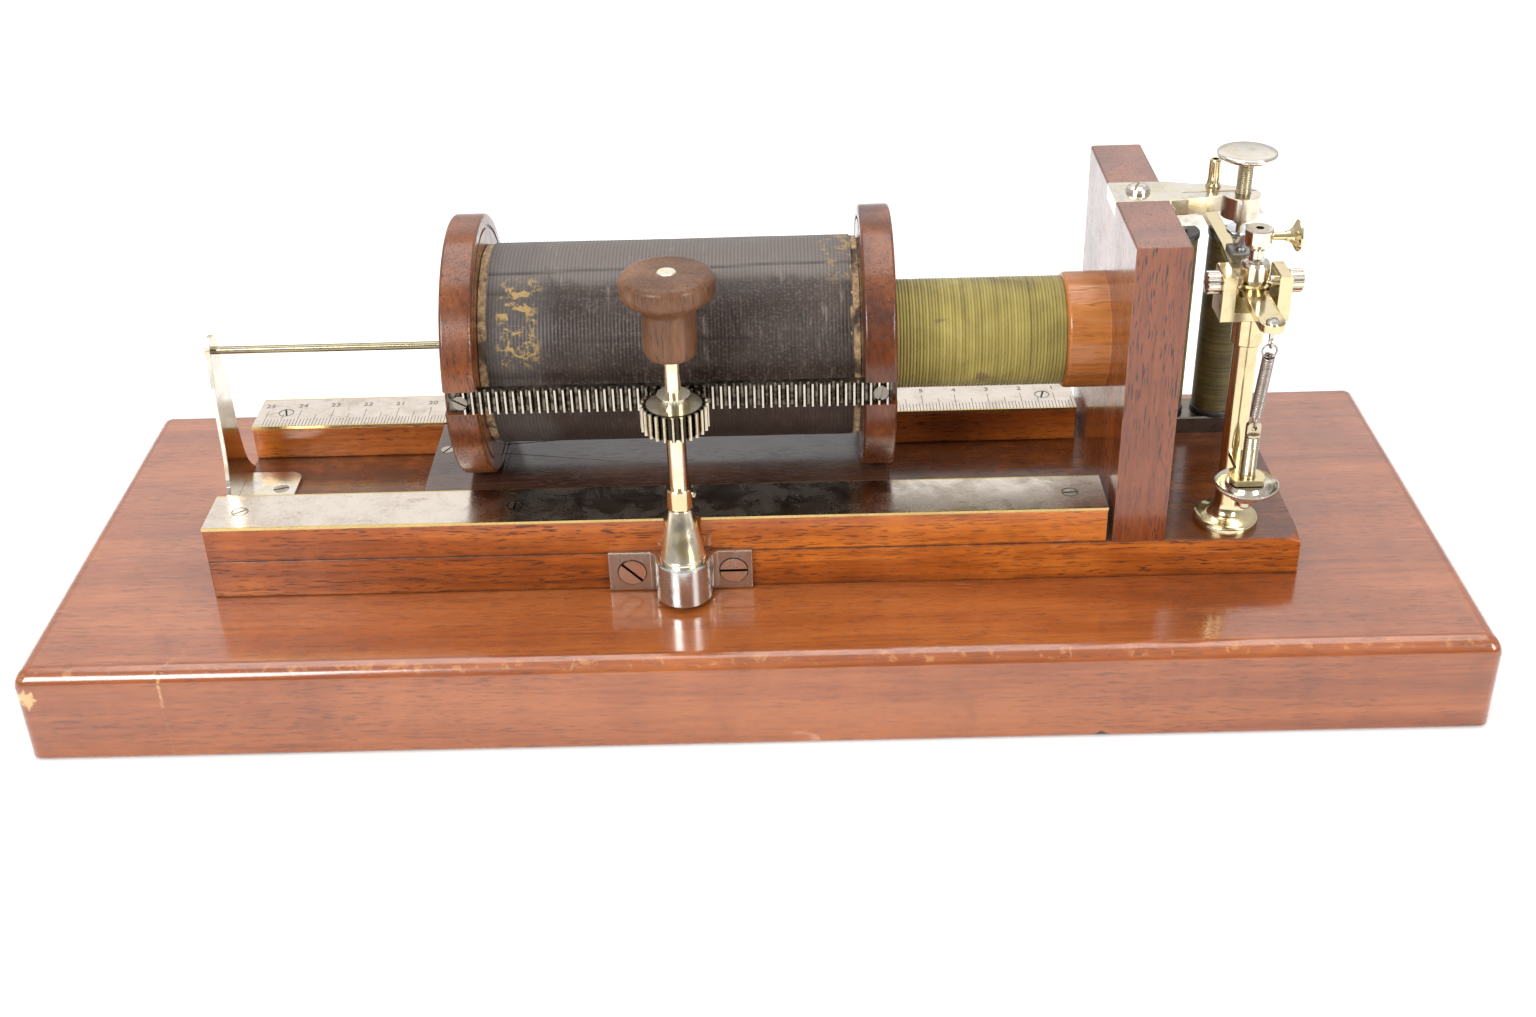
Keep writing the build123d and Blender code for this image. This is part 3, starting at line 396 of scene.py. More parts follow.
def strip_edges(m, base):
    """The plating is worn through to yellow brass along the strips' edges."""
    x, y, z = m.xyz(m.place)
    low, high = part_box("front_strip")
    rag = m.noise(m.stretch((120, 500, 500)), 3.0, 0.6)
    out = m.math("ABSOLUTE", y)
    outer = m.band(m.times_add(rag, 0.6 * MM, out), -low.y - 0.4 * MM, -low.y - 0.1 * MM)
    inner = m.band(m.times_add(rag, -0.6 * MM, out), -high.y + 0.1 * MM, -high.y + 0.5 * MM, 1.0, 0.0)
    side = m.band(z, high.z - 0.25 * MM, high.z - 0.1 * MM, 1.0, 0.0)
    edge = m.math("MAXIMUM", m.math("MAXIMUM", outer, inner), side)
    base = m.mix(edge, base, (0.62, 0.48, 0.20))
    blot = m.noise(m.stretch((120, 260, 260), shift=(4, 4, 4)), 5.0, 0.7, 0.3)
    base = m.mix(m.band(blot, 0.60, 0.66, 0.0, 0.45), base, (0.36, 0.25, 0.17))
    # Painted shade: a dark ring round each strip screw's head, where it sits in the strip.
    for cx in STRIP_SCREWS:
        away = m.radius(x, out, cx, -(low.y + high.y) / 2)
        base = m.mix(m.band(away, 2.0 * MM, 2.6 * MM, 0.9, 0.0), base, (0.05, 0.035, 0.025))
    return base


def strip_slot_shade(m, base):
    """Painted shade in the strip screws' slots."""
    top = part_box("strip_screws")[1].z
    slot = m.band(m.xyz(m.place)[2], top - 0.3 * MM, top - 0.1 * MM, 1.0, 0.0)
    return m.mix(slot, base, (0.02, 0.014, 0.010))


def screw_ring_shade(m, base):
    """Painted shade in the narrow ring round each of the bracket's screws."""
    low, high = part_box("spindle_bracket_screws")
    r = (high.z - low.z) / 2
    x, _, z = m.xyz(m.place)
    rings = []
    for cx in (low.x + r, high.x - r):
        out = m.radius(x, z, cx, (low.z + high.z) / 2)
        rings.append(m.band(out, r + 0.1 * MM, r + 0.5 * MM, 1.0, 0.0))
    return m.mix(m.math("MAXIMUM", *rings), base, (0.03, 0.022, 0.016))


def slot_shade(m, base):
    """Painted shade at the bottom of the bracket screws' slots."""
    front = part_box("spindle_bracket_screws")[0].y
    slot = m.band(m.xyz(m.place)[1], front + 0.15 * MM, front + 0.35 * MM)
    return m.mix(slot, base, (0.02, 0.015, 0.012))


def pinion_gap_shade(m, base):
    """Painted shade in the pinion's gaps."""
    low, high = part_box("pinion")
    x, y, _ = m.xyz(m.place)
    out = m.radius(x, y, (low.x + high.x) / 2, (low.y + high.y) / 2)
    tip = (high.x - low.x) / 2
    gap = m.times(m.band(out, tip - 0.9 * MM, tip - 0.4 * MM, 1.0, 0.0),
                  m.band(out, tip - 1.9 * MM, tip - 1.6 * MM))
    return m.mix(gap, base, (0.040, 0.030, 0.020))


use(metal("brass_turned", BRASS, BRASS_OLD, (0.10, 0.20), 0.35, TURNED, 1.0),
    "pillar", "shaft_collar", "thumbscrew_head", "thumbscrew_shank", "arm_post", "rod_nut")
use(metal("brass_flat", BRASS, BRASS_OLD, (0.10, 0.20), 0.35, FILED, 3.0, edge=0.0003),
    "fork", "lever", "tension_lug")
use(metal("support_brass", (0.27, 0.235, 0.15), (0.11, 0.075, 0.035), (0.14, 0.30), 0.5,
          (60, 2600, 2600), 2.0), "support_rod")
use(metal("plate_turned", PLATE, PLATE_OLD, (0.10, 0.22), 0.35, TURNED, 13.0, 0.6,
          (0.70, 0.61, 0.44)), "binding_post", "tension_nut",
    "contact_screw_head", "pivot_screws", "arm_screw")
use(metal("spindle_plate", (0.82, 0.735, 0.58), (0.34, 0.25, 0.15), (0.14, 0.28), 0.45,
          TURNED, 20.0, 0.6, (0.80, 0.64, 0.34)), "bearing_cone", "pinion_shaft")
use(metal("plate_flat", PLATE, PLATE_OLD, (0.12, 0.24), 0.4, FILED, 14.0, 0.6,
          (0.70, 0.62, 0.46), edge=0.0004), "contact_arm", "rod_bracket")
use(metal("bracket_plate", (0.60, 0.63, 0.62), (0.26, 0.22, 0.17), (0.14, 0.28), 0.5,
          FILED, 15.0, extra=screw_ring_shade, edge=0.0005), "spindle_bracket")
use(metal("rack_plate", (0.55, 0.49, 0.41), (0.18, 0.13, 0.09), (0.20, 0.34), 0.6,
          FILED, 16.0, extra=rack_shade_and_oil), "rack")
use(metal("pinion_plate", (0.54, 0.48, 0.36), (0.20, 0.15, 0.09), (0.16, 0.30), 0.5,
          TURNED, 17.0, extra=pinion_gap_shade), "pinion")
use(metal("brass_thread", (0.52, 0.45, 0.32), (0.20, 0.14, 0.07), (0.20, 0.34), 0.6,
          TURNED, 4.0), "contact_screw", "tension_rod")
use(metal("strip_metal", (0.69, 0.61, 0.53), (0.36, 0.27, 0.19), (0.19, 0.35), 0.6,
          (60, 2400, 2400), 5.0, 0.8, extra=strip_edges), "front_strip", "rear_scale_strip")
use(metal("steel", (0.62, 0.58, 0.52), (0.22, 0.18, 0.13), (0.14, 0.30), 0.5, None, 6.0),
    "nose_hook", "set_screws")
use(metal("bracket_screws", (0.80, 0.77, 0.70), (0.30, 0.25, 0.19), (0.16, 0.30), 0.5, None, 18.0,
          extra=slot_shade), "spindle_bracket_screws")
use(metal("screw_steel", (0.46, 0.41, 0.34), (0.13, 0.09, 0.06), (0.20, 0.40), 0.75, None, 7.0),
    "bracket_screw", "carriage_screw")
use(metal("dirty_steel", (0.26, 0.23, 0.19), (0.08, 0.06, 0.04), (0.22, 0.42), 0.8, None, 21.0),
    "rack_screws")
use(metal("strip_screw_steel", (0.66, 0.61, 0.53), (0.20, 0.15, 0.10), (0.20, 0.36), 0.6, None, 19.0,
          extra=strip_slot_shade), "strip_screws")
use(metal("contact_steel", (0.30, 0.29, 0.28), (0.10, 0.09, 0.08), (0.2, 0.4), 0.5, None, 8.0),
    "contact_block", "block_screw")
use(metal("contact_platinum", (0.70, 0.72, 0.75), (0.20, 0.20, 0.20), (0.12, 0.3), 0.5, None, 9.0),
    "contact_stud")
use(metal("armature_iron", (0.78, 0.74, 0.66), (0.30, 0.26, 0.22), (0.14, 0.30), 0.5, None, 10.0),
    "armature")
use(metal("iron", (0.22, 0.19, 0.16), (0.09, 0.055, 0.03), (0.25, 0.45), 0.7, None, 11.0),
    "iron_core", "magnet_cores", "magnet_yoke")


def ebonite():
    """Black hard rubber, gone slightly dull."""
    m = Mat("ebonite", Coat_Weight=0.3, Coat_Roughness=0.2)
    speckle = m.noise(m.stretch(even(500)), 4.0, 0.6)
    m.colour(m.ramp(speckle, [(0.3, (0.010, 0.009, 0.009)), (0.75, (0.055, 0.048, 0.045))]))
    m.rough(m.band(speckle, 0.3, 0.7, 0.30, 0.50))
    m.bump(speckle, 0.00003, 0.5)
    return m.done()


def card(name, dark, middle, light):
    """Old brown card or torn paper, fibrous and matt."""
    m = Mat(name, Sheen_Weight=0.2)
    fibre = m.noise(m.stretch(even(700)), 5.0, 0.7, 0.6)
    patch = m.noise(m.stretch(even(120)), 3.0, 0.6)
    base = m.ramp(fibre, [(0.25, dark), (0.5, middle), (0.75, light)])
    m.colour(m.mix(m.band(patch, 0.52, 0.64), base, (0.060, 0.036, 0.020)))
    m.rough(m.band(fibre, 0.2, 0.8, 0.75, 0.95))
    m.bump(fibre, 0.0002, 0.8)
    return m.done()


def silk(name, dark, middle, light, axis, pitch, stain):
    """Silk-covered wire. The fine bump is the covering's own lapping."""
    m = Mat(name, Sheen_Weight=0.35, Sheen_Roughness=0.35)
    turn = m.noise(m.stretch(along(axis, 1 / pitch * 0.9, 6)), 1.0, 0.5)
    fuzz = m.noise(m.stretch(even(2200)), 3.0, 0.6)
    broad = m.noise(m.stretch(even(55), shift=(2, 5, 1)), 4.0, 0.62, 0.6)
    tone = m.times_add(turn, 0.35, m.times(broad, 0.5))
    tone = m.times_add(fuzz, 0.15, tone)
    base = m.ramp(tone, [(0.34, dark), (0.50, middle), (0.66, light)])
    blot = m.noise(m.stretch(even(130), shift=(9, 1, 4)), 3.0, 0.6, 0.5)
    base = m.mix(m.band(blot, 0.66, 0.72, 0.0, 0.65), base, stain)
    m.colour(base)
    m.rough(m.band(fuzz, 0.2, 0.8, 0.42, 0.65))
    m.bump(fuzz, 0.00004, 0.5)
    return m.done()


RIB = 1.0 * MM


def bookcloth():
    """Ribbed, glazed cloth with a painted sheen along the top, rubbed grey in patches, painted shade below,
    in the rib grooves and in the creases, and flakes of old glue at one end.
    """
    m = Mat("bookcloth", Sheen_Weight=0.03, Specular_IOR_Level=0.36)
    x, y, z = m.xyz(m.place)
    start_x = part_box("coil_wrapper")[0].x
    rib = m.math("COSINE", m.times(m.math("SUBTRACT", x, start_x), 2 * pi / RIB))
    weave = m.noise(m.stretch((1000, 2200, 2200)), 2.0, 0.6)
    broad = m.noise(m.stretch((45, 60, 60), shift=(3, 1, 7)), 4.0, 0.6, 0.5)
    rub = m.noise(m.stretch((420, 110, 110), shift=(1, 1, 1)), 5.0, 0.68)
    base = m.ramp(broad, [(0.30, (0.018, 0.009, 0.006)), (0.50, (0.038, 0.022, 0.016)),
                          (0.68, (0.066, 0.044, 0.033))])
    # Painted sheen: the top of the cloth paler grey.
    top = m.band(m.times_add(broad, 0.006, z), 0.1125, 0.1150)
    base = m.mix(m.times(top, 0.7), base, (0.160, 0.135, 0.122))
    base = m.mix(m.band(rub, 0.55, 0.72, 0.0, 0.6), base, (0.19, 0.150, 0.125))
    dots = m.noise(m.stretch((1100, 1500, 1500), shift=(2, 2, 2)), 2.0, 0.6)
    base = m.mix(m.band(dots, 0.52, 0.66, 0.0, 0.35), base, (0.16, 0.125, 0.105))
    # Painted shade: the lower part of the cloth darker.
    below = m.band(z, 0.0720, 0.0860, 1.0, 0.0)
    base = m.mix(m.times(below, 0.70), base, (0.024, 0.008, 0.004))
    left = m.band(m.times_add(broad, 0.016, x), -0.0500, -0.0440, 1.0, 0.0)
    base = m.mix(m.times(left, 0.5), base, (0.085, 0.074, 0.068))
    # Painted shade in the grooves between the ribs.
    base = m.mix(m.band(rib, -0.9, 0.4, 0.34, 0.0), base, (0.010, 0.006, 0.005))
    # Painted shade along the creases and the lap's edge, read from the mesh's attribute.
    crease = m.tree.nodes.new("ShaderNodeAttribute")
    crease.attribute_name = "crease"
    base = m.mix(m.times(crease.outputs["Fac"], 0.8), base, (0.008, 0.005, 0.004))
    flake = m.noise(m.stretch((260, 330, 330), shift=(5, 2, 3)), 5.0, 0.72, 0.8)
    lean = m.times_add(m.noise(m.stretch((110, 90, 90)), 3.0), 0.012, x)
    span = m.times(m.band(lean, -0.0605, -0.0590), m.band(lean, -0.0530, -0.0490, 1.0, 0.0))
    height = m.times(m.band(z, 0.0905, 0.0950), m.band(z, 0.1105, 0.1125, 1.0, 0.0))
    front = m.times(m.times(span, height), m.band(y, -0.014, -0.010, 1.0, 0.0))
    gilt = m.times(m.band(flake, 0.50, 0.58), front)
    far = m.times(m.band(lean, 0.0250, 0.0290), m.band(z, 0.1090, 0.1120))
    gilt = m.math("MAXIMUM", gilt, m.times(m.band(flake, 0.50, 0.60), far))
    base = m.mix(m.times(gilt, 0.85), base, (0.34, 0.215, 0.070))
    m.colour(base)
    m.rough(m.band(broad, 0.3, 0.7, 0.40, 0.56))
    m.bump(dots, 0.00010, 0.8)
    m.bump(weave, 0.00006, 0.5)
    m.bump(gilt, 0.00006, 0.7)
    return m.done()


use(ebonite(), "magnet_caps")
CARD = card("card", (0.070, 0.036, 0.016), (0.20, 0.115, 0.055), (0.42, 0.30, 0.17))
TORN = card("torn_paper", (0.10, 0.055, 0.022), (0.34, 0.215, 0.105), (0.58, 0.42, 0.25))
use(CARD, "bobbin_tube", "primary_tube", "secondary_winding")


# ---------------------------------------------------------------- mesh building
CENTRE = 0.01  # millimetres: how near a turned profile comes to its own axis


def make(name, verts, faces, material, body):
    """A new mesh piece that rides a body."""
    mesh = bpy.data.meshes.new(name)
    mesh.from_pydata(verts, [], faces)
    mesh.validate()
    mesh.shade_smooth()
    mesh.materials.append(material)
    obj = bpy.data.objects.new(name, mesh)
    bpy.context.scene.collection.objects.link(obj)
    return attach(obj, body)


def sleeve(name, stations, radius_at, inner, steps, point, material, body):
    """A closed tube. radius_at(station, angle) gives its skin, inner its bore radius."""
    verts = []
    for s in stations:
        for k in range(steps):
            verts.append(point(s, 2 * pi * k / steps, radius_at(s, 2 * pi * k / steps)))
    rows = len(stations)
    for s in (stations[-1], stations[0]):
        for k in range(steps):
            verts.append(point(s, 2 * pi * k / steps, inner))
    faces = []
    for r in range(rows + 2):
        a, b = r * steps, ((r + 1) % (rows + 2)) * steps
        for k in range(steps):
            k2 = (k + 1) % steps
            faces.append((a + k, b + k, b + k2, a + k2))
    obj = make(name, verts, faces, material, body)
    obj.data.set_sharp_from_angle(angle=radians(60))
    return obj


def about_x(centre_z):
    """Points round a level axis along X. Angle 0 is the top and it turns to the front."""
    return lambda s, a, r: (s, -r * sin(a), centre_z + r * cos(a))


def about_z(cx, cy):
    """Points round an upright axis. Angle 0 is at the right."""
    return lambda s, a, r: (cx + r * cos(a), cy + r * sin(a), s)


def turns(start, end, pitch, per_turn):
    """The number of turns in a winding and its stations, per_turn of them for each turn."""
    count = max(1, round((end - start) / pitch))
    steps = count * per_turn
    return count, [start + (end - start) * i / steps for i in range(steps + 1)]


def wound(name, start, end, pitch, radius, inner, steps, point, material, body):
    """A layer of wire laid side by side, each turn standing a little differently."""
    slack = 0.04 * MM
    count, stations = turns(start, end, pitch, 5)
    real = (end - start) / count
    stand = [random.uniform(-slack, slack) for _ in range(count + 1)]

    def skin(s, a):
        t = (s - start) / real
        k = min(count - 1, int(t + 1e-9))
        u = 2 * (t - k) - 1
        crown = (max(0.0, 1 - min(1.0, abs(u)) ** 2.4)) ** 0.5
        wave = 0.03 * MM * noise.noise(Vector((s * 90, a * 1.5, 3.0)))
        return radius - 0.5 * real * 0.72 * (1 - crown) + stand[k] * crown * 0.5 - slack + wave
    return sleeve(name, stations, skin, inner, steps, point, material, body)


def level_of(node, side):
    """The height of a node's bottom (0) or top (1), in millimetres."""
    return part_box(node)[side].z / MM


def raised(level, profile):
    """Profile points whose heights are counted from a level."""
    return [(r, level + h) for r, h in profile]


def divided(profile, longest):
    """A profile with every run cut into parts of about one length."""
    points = []
    for (r0, z0), (r1, z1) in zip(profile, profile[1:]):
        parts = max(1, int(hypot(r1 - r0, z1 - z0) / longest))
        points += [(r0 + (r1 - r0) * i / parts, z0 + (z1 - z0) * i / parts) for i in range(parts)]
    return points + [profile[-1]]


def lathe(name, node, body, material, profile, steps=128, skin=None):
    """Turns a profile of (radius, height) millimetres about a node's upright axis and replaces the node.

    A profile that ends where it starts is a ring. skin(radius, height, angle) changes the radius.
    """
    low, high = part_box(node)
    cx, cy = (low.x + high.x) / 2, (low.y + high.y) / 2
    ring = profile[0] == profile[-1]
    points = divided(profile, 0.45) if skin else list(profile)
    if ring:
        points.pop()
    verts, faces = [], []
    for r, z in points:
        for k in range(steps):
            a = 2 * pi * k / steps
            out = max(0.004, skin(r, z, a) if skin else r) * MM
            verts.append((cx + out * cos(a), cy + out * sin(a), z * MM))
    for i in range(len(points) if ring else len(points) - 1):
        a, b = i * steps, (i + 1) % len(points) * steps
        for k in range(steps):
            k2 = (k + 1) % steps
            faces.append((a + k, a + k2, b + k2, b + k))
    if not ring:
        faces.append(tuple(reversed(range(steps))))
        faces.append(tuple((len(points) - 1) * steps + k for k in range(steps)))
    obj = make(name, verts, faces, bpy.data.materials[material], body)
    obj.data.set_sharp_from_angle(angle=radians(40))
    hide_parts(node)
    return obj


# ---------------------------------------------------------------- turned parts
lathe("pillar_turned", "pillar", "base", "brass_turned", raised(level_of("pillar", 0), [
    (CENTRE, 0), (8.9, 0), (8.9, 1.6), (8.75, 2.0), (8.5, 2.3), (8.0, 2.5), (7.4, 2.7), (5.6, 3.1),
    (5.0, 3.4), (4.6, 3.8), (4.2, 4.3), (3.9, 5.0), (3.65, 5.9), (3.5, 7.0), (3.3, 12.0),
]) + raised(level_of("pillar", 1), [(3.3, -8.1), (3.9, -8.1), (4.2, -7.8), (4.2, 0), (CENTRE, 0)]))

lathe("contact_disc", "contact_screw_head", "contact_knob", "plate_turned",
      raised(level_of("contact_screw_head", 0), [
          (CENTRE, 0), (2.5, 0), (2.65, 0.35), (2.9, 0.7), (4.2, 1.2), (6.6, 1.5), (7.2, 1.65),
          (7.6, 1.9), (7.85, 2.15), (8.0, 2.4), (8.0, 2.9), (7.85, 3.15), (7.5, 3.3), (6.6, 3.42),
          (5.5, 3.45), (CENTRE, 3.5)]))


def contact_thread():
    """The contact screw: a plain point below a right-hand thread."""
    pitch, depth, step, neck = 0.5, 0.30, 0.1, 3.4
    low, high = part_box("contact_screw")
    tip, end = low.z / MM, high.z / MM
    crest = (high.x - low.x) / 2 / MM

    def skin(r, z, a):
        if r < crest - 0.01:
            return r
        u = (z / pitch - a / (2 * pi)) % 1.0
        return r - depth * abs(2 * u - 1)

    profile = raised(tip, [(CENTRE, 0), (0.7, 0), (0.88, 0.2), (0.88, 2.6), (crest, neck)])
    rings = int((end - tip - neck - step) / step)
    profile += [(crest, tip + neck + step * i) for i in range(1, rings)] + [(crest, end), (CENTRE, end)]
    obj = lathe("contact_thread", "contact_screw", "contact_shank", "brass_thread", profile, 48, skin)
    obj.data.set_sharp_from_angle(angle=radians(80))


contact_thread()

lathe("cone_turned", "bearing_cone", "base", "spindle_plate", raised(level_of("bearing_cone", 0), [
    (1.75, 0), (5.0, 0), (5.0, 6.8), (6.3, 6.8), (6.3, 7.6), (6.15, 7.9), (5.9, 8.2),
]) + raised(level_of("bearing_cone", 1), [(3.5, -0.3), (3.4, -0.1), (3.2, 0), (1.75, 0)])
    + raised(level_of("bearing_cone", 0), [(1.75, 0)]))

lathe("knob_turned", "knob", "spindle", "knob_walnut", raised(level_of("knob", 0), [
    (2.15, 0), (5.6, 0), (6.2, 0.25), (6.5, 0.6), (6.75, 1.1), (6.9, 1.8), (6.95, 4.0), (6.95, 11.5),
    (7.0, 12.1), (7.1, 12.6), (7.3, 13.1), (7.6, 13.6), (8.2, 14.2), (9.0, 14.8), (10.0, 15.45),
    (11.0, 16.2), (11.5, 16.65), (11.9, 17.2), (12.15, 17.8), (12.3, 18.6), (12.3, 20.6),
    (12.15, 21.3), (11.9, 21.8), (11.5, 22.25), (11.0, 22.6), (10.2, 22.85), (9.4, 23.0),
    (2.6, 23.0), (2.6, 21.75), (2.15, 21.75), (2.15, 0)]), 160)


def milled(r, z, a):
    """Fine milling round the tension nut's rim."""
    return r - (0.16 * (0.5 + 0.5 * cos(64 * a)) if r > 8.3 else 0.0)


lathe("tension_nut_turned", "tension_nut", "adjuster_nut", "plate_turned",
      raised(level_of("tension_nut", 1), [
          (2.02, -5.0), (2.02, 0), (5.0, 0), (5.6, -0.9), (7.4, -0.5), (8.2, -0.1), (8.6, -0.4),
          (8.5, -0.9), (7.9, -1.45), (7.2, -1.9), (4.9, -2.3), (4.7, -3.6), (4.4, -4.2), (3.9, -4.6),
          (2.9, -5.0), (2.02, -5.0)]), 256, milled)


def round_edges(width, *names):
    """A small worn radius, in millimetres, on a plain node's sharp edges."""
    for name in names:
        obj = NODES[name]
        weld = obj.modifiers.new("weld", "WELD")
        weld.merge_threshold = 2e-6
        bevel = obj.modifiers.new("bevel", "BEVEL")
        bevel.width = width * MM
        bevel.segments = 2
        bevel.limit_method = "ANGLE"
        bevel.angle_limit = radians(50)
        flat = obj.modifiers.new("flat", "WEIGHTED_NORMAL")
        flat.weight = 90
        flat.keep_sharp = True


round_edges(0.6, "upright_block", "carriage_board")
round_edges(0.45, "front_rail", "rear_rail", "bed_board")

# ---------------------------------------------------------------- windings
COIL_AXIS_Z = sum(c.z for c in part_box("iron_core")) / 2
PRIMARY_WIRE = 0.9 * MM
MAGNET_WIRE = 0.55 * MM
PRIMARY_BORE = 12.0 * MM
MAGNET_BORE = 3.2 * MM


def primary_winding():
    low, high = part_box("primary_winding")
    olive = silk("silk_olive", (0.120, 0.090, 0.016), (0.260, 0.205, 0.045), (0.37, 0.305, 0.080),
                 "X", PRIMARY_WIRE, (0.13, 0.075, 0.035))
    piece = wound("primary_turns", low.x, high.x, PRIMARY_WIRE, (high.y - low.y) / 2, PRIMARY_BORE, 140,
                  about_x(COIL_AXIS_Z), olive, "base")
    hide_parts("primary_winding")


def magnet_windings():
    """Two coils that stand for one CAD node. The left one replaces it."""
    low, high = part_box("magnet_windings")
    radius = (high.y - low.y) / 2
    dark = silk("silk_dark", (0.045, 0.034, 0.010), (0.125, 0.094, 0.024), (0.235, 0.183, 0.050),
                "Z", MAGNET_WIRE, (0.03, 0.02, 0.01))
    for side, cx in (("left", low.x + radius), ("right", high.x - radius)):
        piece = wound("magnet_turns_" + side, low.z, high.z, MAGNET_WIRE, radius, MAGNET_BORE, 72,
                      about_z(cx, (low.y + high.y) / 2), dark, "base")
        if side == "left":
            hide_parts("magnet_windings")


primary_winding()
magnet_windings()

# ---------------------------------------------------------------- cloth wrapper
CLOTH_LOW, CLOTH_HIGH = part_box("coil_wrapper")
CLOTH_LONG = CLOTH_HIGH.x - CLOTH_LOW.x
CLOTH_R = (CLOTH_HIGH.y - CLOTH_LOW.y) / 2
CLOTH_BORE = 27.05 * MM
CARD_R = 27.55 * MM
CARD_BORE = 26.9 * MM
LAP_FROM, LAP_TO = -0.6, radians(22)  # angles from the top, towards the front
# Creases along the coil: angle, depth, lean, and where they start and end as parts of its length.
CREASES = ((0.64, 0.26, 0.10, 0.0, 0.62), (1.16, 0.22, -0.06, 0.25, 1.0), (1.45, 0.18, 0.16, 0.0, 0.5),
           (-0.25, 0.14, 0.05, 0.0, 1.0), (2.6, 0.2, 0.1, 0.1, 0.9), (-1.8, 0.2, -0.1, 0.0, 1.0))
# Creases round the coil: place as a part of its length, and the angles between which they run.
SLANTS = ((0.62, 0.45, 1.25), (0.16, 0.3, 0.72), (0.83, 0.66, 1.5))


def signed(angle):
    """The same angle, between -pi and pi."""
    return (angle + pi) % (2 * pi) - pi


def crease_depth(s, a):
    """How deep the cloth is pressed in, 0 to 1, along its creases."""
    t = (s - CLOTH_LOW.x) / CLOTH_LONG
    deep = 0.0
    for at, depth, lean, t0, t1 in CREASES:
        if t0 - 0.02 < t < t1:
            centre = at + lean * t + 0.03 * noise.noise(Vector((s * 40, at * 9, 0)))
            deep = max(deep, depth * 4 * max(0.0, 1 - abs(a - centre) / 0.022))
    for at, a0, a1 in SLANTS:
        if a0 < a < a1:
            centre = at + 0.10 * (a - a0) + 0.01 * noise.noise(Vector((a * 3, at * 9, 0)))
            deep = max(deep, 0.7 * max(0.0, 1 - abs(t - centre) / 0.008))
    return deep * (0.65 + 0.5 * noise.noise(Vector((s * 60, a * 3, 2))))


def lap_edge(s):
    """The angle at which the cloth's overlapping end stops."""
    t = (s - CLOTH_LOW.x) / CLOTH_LONG
    return LAP_TO + 0.02 * noise.noise(Vector((s * 55, 0, 9))) - 0.06 * t


def cloth_skin(s, a):
    """Ribs round the coil, a raised lap along the top, and long soft creases."""
    a = signed(a)
    rib = 0.5 + 0.5 * cos(2 * pi * (s - CLOTH_LOW.x) / RIB)
    broad = noise.noise(Vector((s * 40, a * 2.2, 1.5)))
    fine = noise.noise(Vector((s * 170, a * 7.0, 4.5)))
    edge = lap_edge(s)
    r = CLOTH_R - 0.32 * MM + 0.12 * MM * rib * (1.0 if a > edge else 0.6)
    r += 0.10 * MM * broad + 0.05 * MM * fine
    if LAP_FROM < a < edge:
        r += 0.30 * MM * min(1.0, (edge - a) / 0.01)
    r -= 0.24 * MM * crease_depth(s, a)
    return min(r, CLOTH_R + 0.25 * MM)


def cloth_wrapper():
    """The ribbed cover. Its attribute of painted shade darkens the creases and the lap's edge."""
    stations = turns(CLOTH_LOW.x, CLOTH_HIGH.x, RIB, 4)[1]
    piece = sleeve("cloth_wrapper", stations, cloth_skin, CLOTH_BORE, 240, about_x(COIL_AXIS_Z),
                   bookcloth(), "carriage")
    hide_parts("coil_wrapper")
    # Painted shade: how dark each point is along a crease or the lap's edge.
    crease_shade_layer = piece.data.attributes.new("crease", "FLOAT", "POINT")
    for vert, value in zip(piece.data.vertices, crease_shade_layer.data):
        x, y, z = vert.co
        a = signed(atan2(-y, z - COIL_AXIS_Z))
        lap = max(0.0, 1 - abs(a - lap_edge(x) - 0.01) / 0.022)
        value.value = min(1.0, max(0.0, crease_depth(x, a), lap))


def torn_card(side, start, end, tall):
    """A collar of torn paper that stands up to about tall millimetres at one end of the cloth."""
    def torn(s, a):
        t = (s - start) / (end - start)
        rag = noise.fractal(Vector((s * 500, a * 9.0, start * 100)), 1.0, 2.0, 4)
        tuft = max(0.0, noise.noise(Vector((a * 5.0, s * 200, end * 90))))
        return CARD_R + tall * MM * (0.22 * rag + 0.9 * tuft * (0.4 + 0.6 * sin(pi * t)))

    rows = 14
    stations = [start + (end - start) * i / rows for i in range(rows + 1)]
    piece = sleeve("torn_card_" + side, stations, torn, CARD_BORE, 420, about_x(COIL_AXIS_Z), TORN,
                   "carriage")
    if side == "left":
        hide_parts("edge_cards")


cloth_wrapper()
low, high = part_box("edge_cards")
torn_card("left", low.x - 0.3 * MM, low.x + 2.1 * MM, 1.0)
torn_card("right", high.x - 2.6 * MM, high.x - 0.1 * MM, 1.2)

# ---------------------------------------------------------------- tension spring
SPRING_WIRE = 0.26 * MM
SPRING_R = 1.34 * MM
SPRING_STEEL = metal("spring_steel", (0.40, 0.35, 0.31), (0.13, 0.10, 0.08), (0.22, 0.4), 0.6, None, 12.0)


